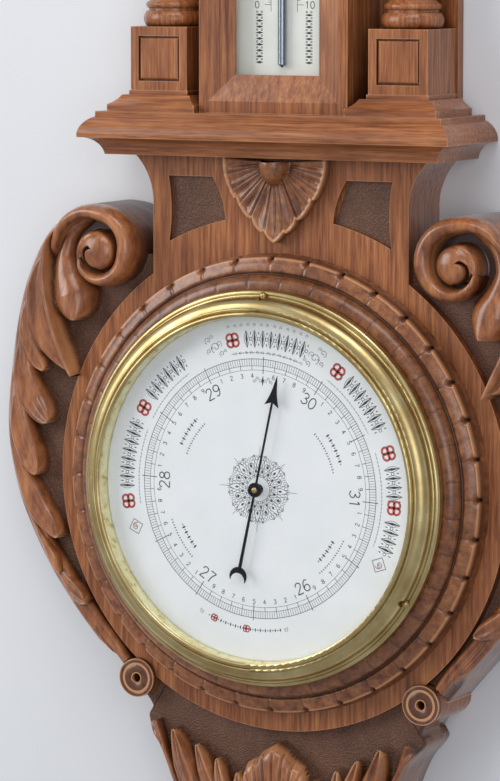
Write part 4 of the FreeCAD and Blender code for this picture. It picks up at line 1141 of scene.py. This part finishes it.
def neck_grounds():
    rows = 24
    top = 176.6
    for side in (-1, 1):
        points = []
        for share in np.linspace(0, 1, rows):
            low_x = 34.9 + (71.9 - 34.9) * share
            low_z = math.sqrt(156.0 ** 2 - low_x ** 2) + 0.1
            high_x = 43.4 + (72.2 - 43.4) * share
            for t in np.linspace(0, 1, rows):
                points.append((side * (low_x + (high_x - low_x) * t), 27.9, low_z + (top - low_z) * t))
        add_mesh("panel_ground_right" if side > 0 else "panel_ground_left", points,
                 sheet_faces(rows, rows, flip=side > 0), STIPPLED)


# Leaf spray under the dial

LOWER_EDGE = [(-102, -121.3), (-95, -130), (-88, -140), (-90.5, -147), (-80, -161), (-71, -182), (-63, -203),
              (-45, -226), (-22, -244), (0, -252)]
LOWER_LEAVES = [
    ([(-56, -206), (-72, -184), (-84, -163), (-92.5, -146.5)], [7, 9, 8.5, 5], [8, 12, 14, 12], 2.2),
    ([(-40, -222), (-52, -196), (-62, -170), (-68, -149)], [6, 8.5, 8.5, 6.5], [9, 13, 16, 15], 2.2),
    ([(-30, -216), (-41, -192), (-48, -172), (-53, -157)], [5, 6.5, 6.5, 4.5], [8, 11, 14, 13], 1.6),
    ([(-20, -224), (-31, -198), (-37, -178), (-39.5, -164)], [4.5, 6, 6, 4.5], [8, 11, 13, 12.5], 1.4),
    ([(-8, -236), (-20, -212), (-25, -190), (-25, -171)], [5, 7, 7.5, 5.5], [9, 13, 15, 14], 1.8),
]


def lower_height(x, z):
    """Height of the left half of the leaf spray: leaves, border, and the fluted palmette."""
    parts = []
    for spine, widths, heights, scoop in LOWER_LEAVES:
        parts.append(strand(x, z, spine, widths, heights, scoop * 1.5, 0.7, 0.5, 3.6))
    border = [(-84, -150), (-74, -180), (-66, -201), (-47, -223), (-24, -240), (0, -248)]
    parts.append(strand(x, z, border, [5, 5.5, 6, 6, 6], [8, 9, 9, 9, 9], 1.0, 0.3, 0.02))
    heart = np.hypot(x, z + 232.0)
    turn = np.degrees(np.arctan2(np.abs(x), z + 232.0))
    reach = np.interp(turn, [0, 6, 9, 15, 19, 25, 30], [80.5, 76.5, 73.0, 71.0, 64.0, 62.0, 54.0])
    inside = (heart < reach) & (turn < 30)
    ray = np.abs(np.mod(turn + 2.6, 5.2) - 2.6) / 2.6
    height = 12.0 + 5.0 * step(heart, 20, 60) - 1.5 * np.exp(-(ray * heart * 0.045 / 0.8) ** 2)
    height = height * np.sqrt(np.clip(1 - (heart / np.maximum(reach, 1)) ** 26, 0, 1))
    parts.append(np.where(inside, height, 0.0))
    return np.maximum.reduce(parts)


def lower_carving():
    outer = smooth_line(LOWER_EDGE, 260)
    outer[:, 0] = np.minimum(outer[:, 0], 0.0)
    inner = inner_arc(outer)
    relief("lower_leaf_carving_left", inner, outer, lower_height, 110, False, "lower_carving")
    relief("lower_leaf_carving_right", inner, outer, lower_height, 110, True, "lower_carving")


# Nodes of the solids, with the material that each takes

KEPT = (
    (OAK, ("case_body", "lower_pendant", "dial_ring_moulding", "neck_shell", "left_pedestal",
           "right_pedestal", "left_column", "right_column", "upper_backboard", "crest",
           "thermometer_case", "thermometer_frame", "left_side_carving", "right_side_carving",
           "lower_carving")),
    (OAK_ACROSS, ("cornice_shelf", "left_pedestal_base", "right_pedestal_base", "entablature",
                  "left_pediment_scroll", "right_pediment_scroll")),
    (BRASS, ("tube_clips", "bezel", "bezel_screws", "sight_ring", "pointer_boss")),
    (BRASS_DULL, ("hanging_plate", "hanging_plate_screws", "movement_drum", "base_plate",
                  "rocking_bar_brackets", "bridge", "pillars", "arbor_cock")),
    (STEEL, ("base_plate_screws", "capsule_stud", "main_spring", "main_lever", "link", "rocking_bar",
             "chain", "arbor", "adjusting_screw")),
    (GLASS, ("thermometer_pane", "bezel_glass")),
    (BLUED, ("hairspring", "pointer")),
    (OPAL, ("thermometer_scale_plate",)),
    (TUBE_GLASS, ("thermometer_tube",)),
    (MERCURY, ("thermometer_mercury",)),
    (DIAL, ("dial_plate",)),
    (NICKEL, ("capsule",)),
)


def paint_kept_nodes():
    for material, nodes in KEPT:
        for node in nodes:
            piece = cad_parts[node]
            piece.data.materials.clear()
            piece.data.materials.append(material)


def wall():
    """Plain wall just behind the object."""
    reach = 6000.0
    depth = WALL + 0.4
    points = [(-reach, depth, -reach), (reach, depth, -reach), (reach, depth, reach), (-reach, depth, reach)]
    panel = add_mesh("wall_panel", points, [(0, 1, 2, 3)], WALL_PAINT, body=None, smooth=False)


add_camera()
add_lights()
paint_kept_nodes()
side_carvings()
volutes()
lower_carving()
ring_moulding()
neck_shell()
neck_grounds()
dial_printing()
sight_ring()
roundel_faces()
pedestal_fields()
thermometer_printing()
wall()
bpy.context.scene.view_settings.view_transform = "Standard"
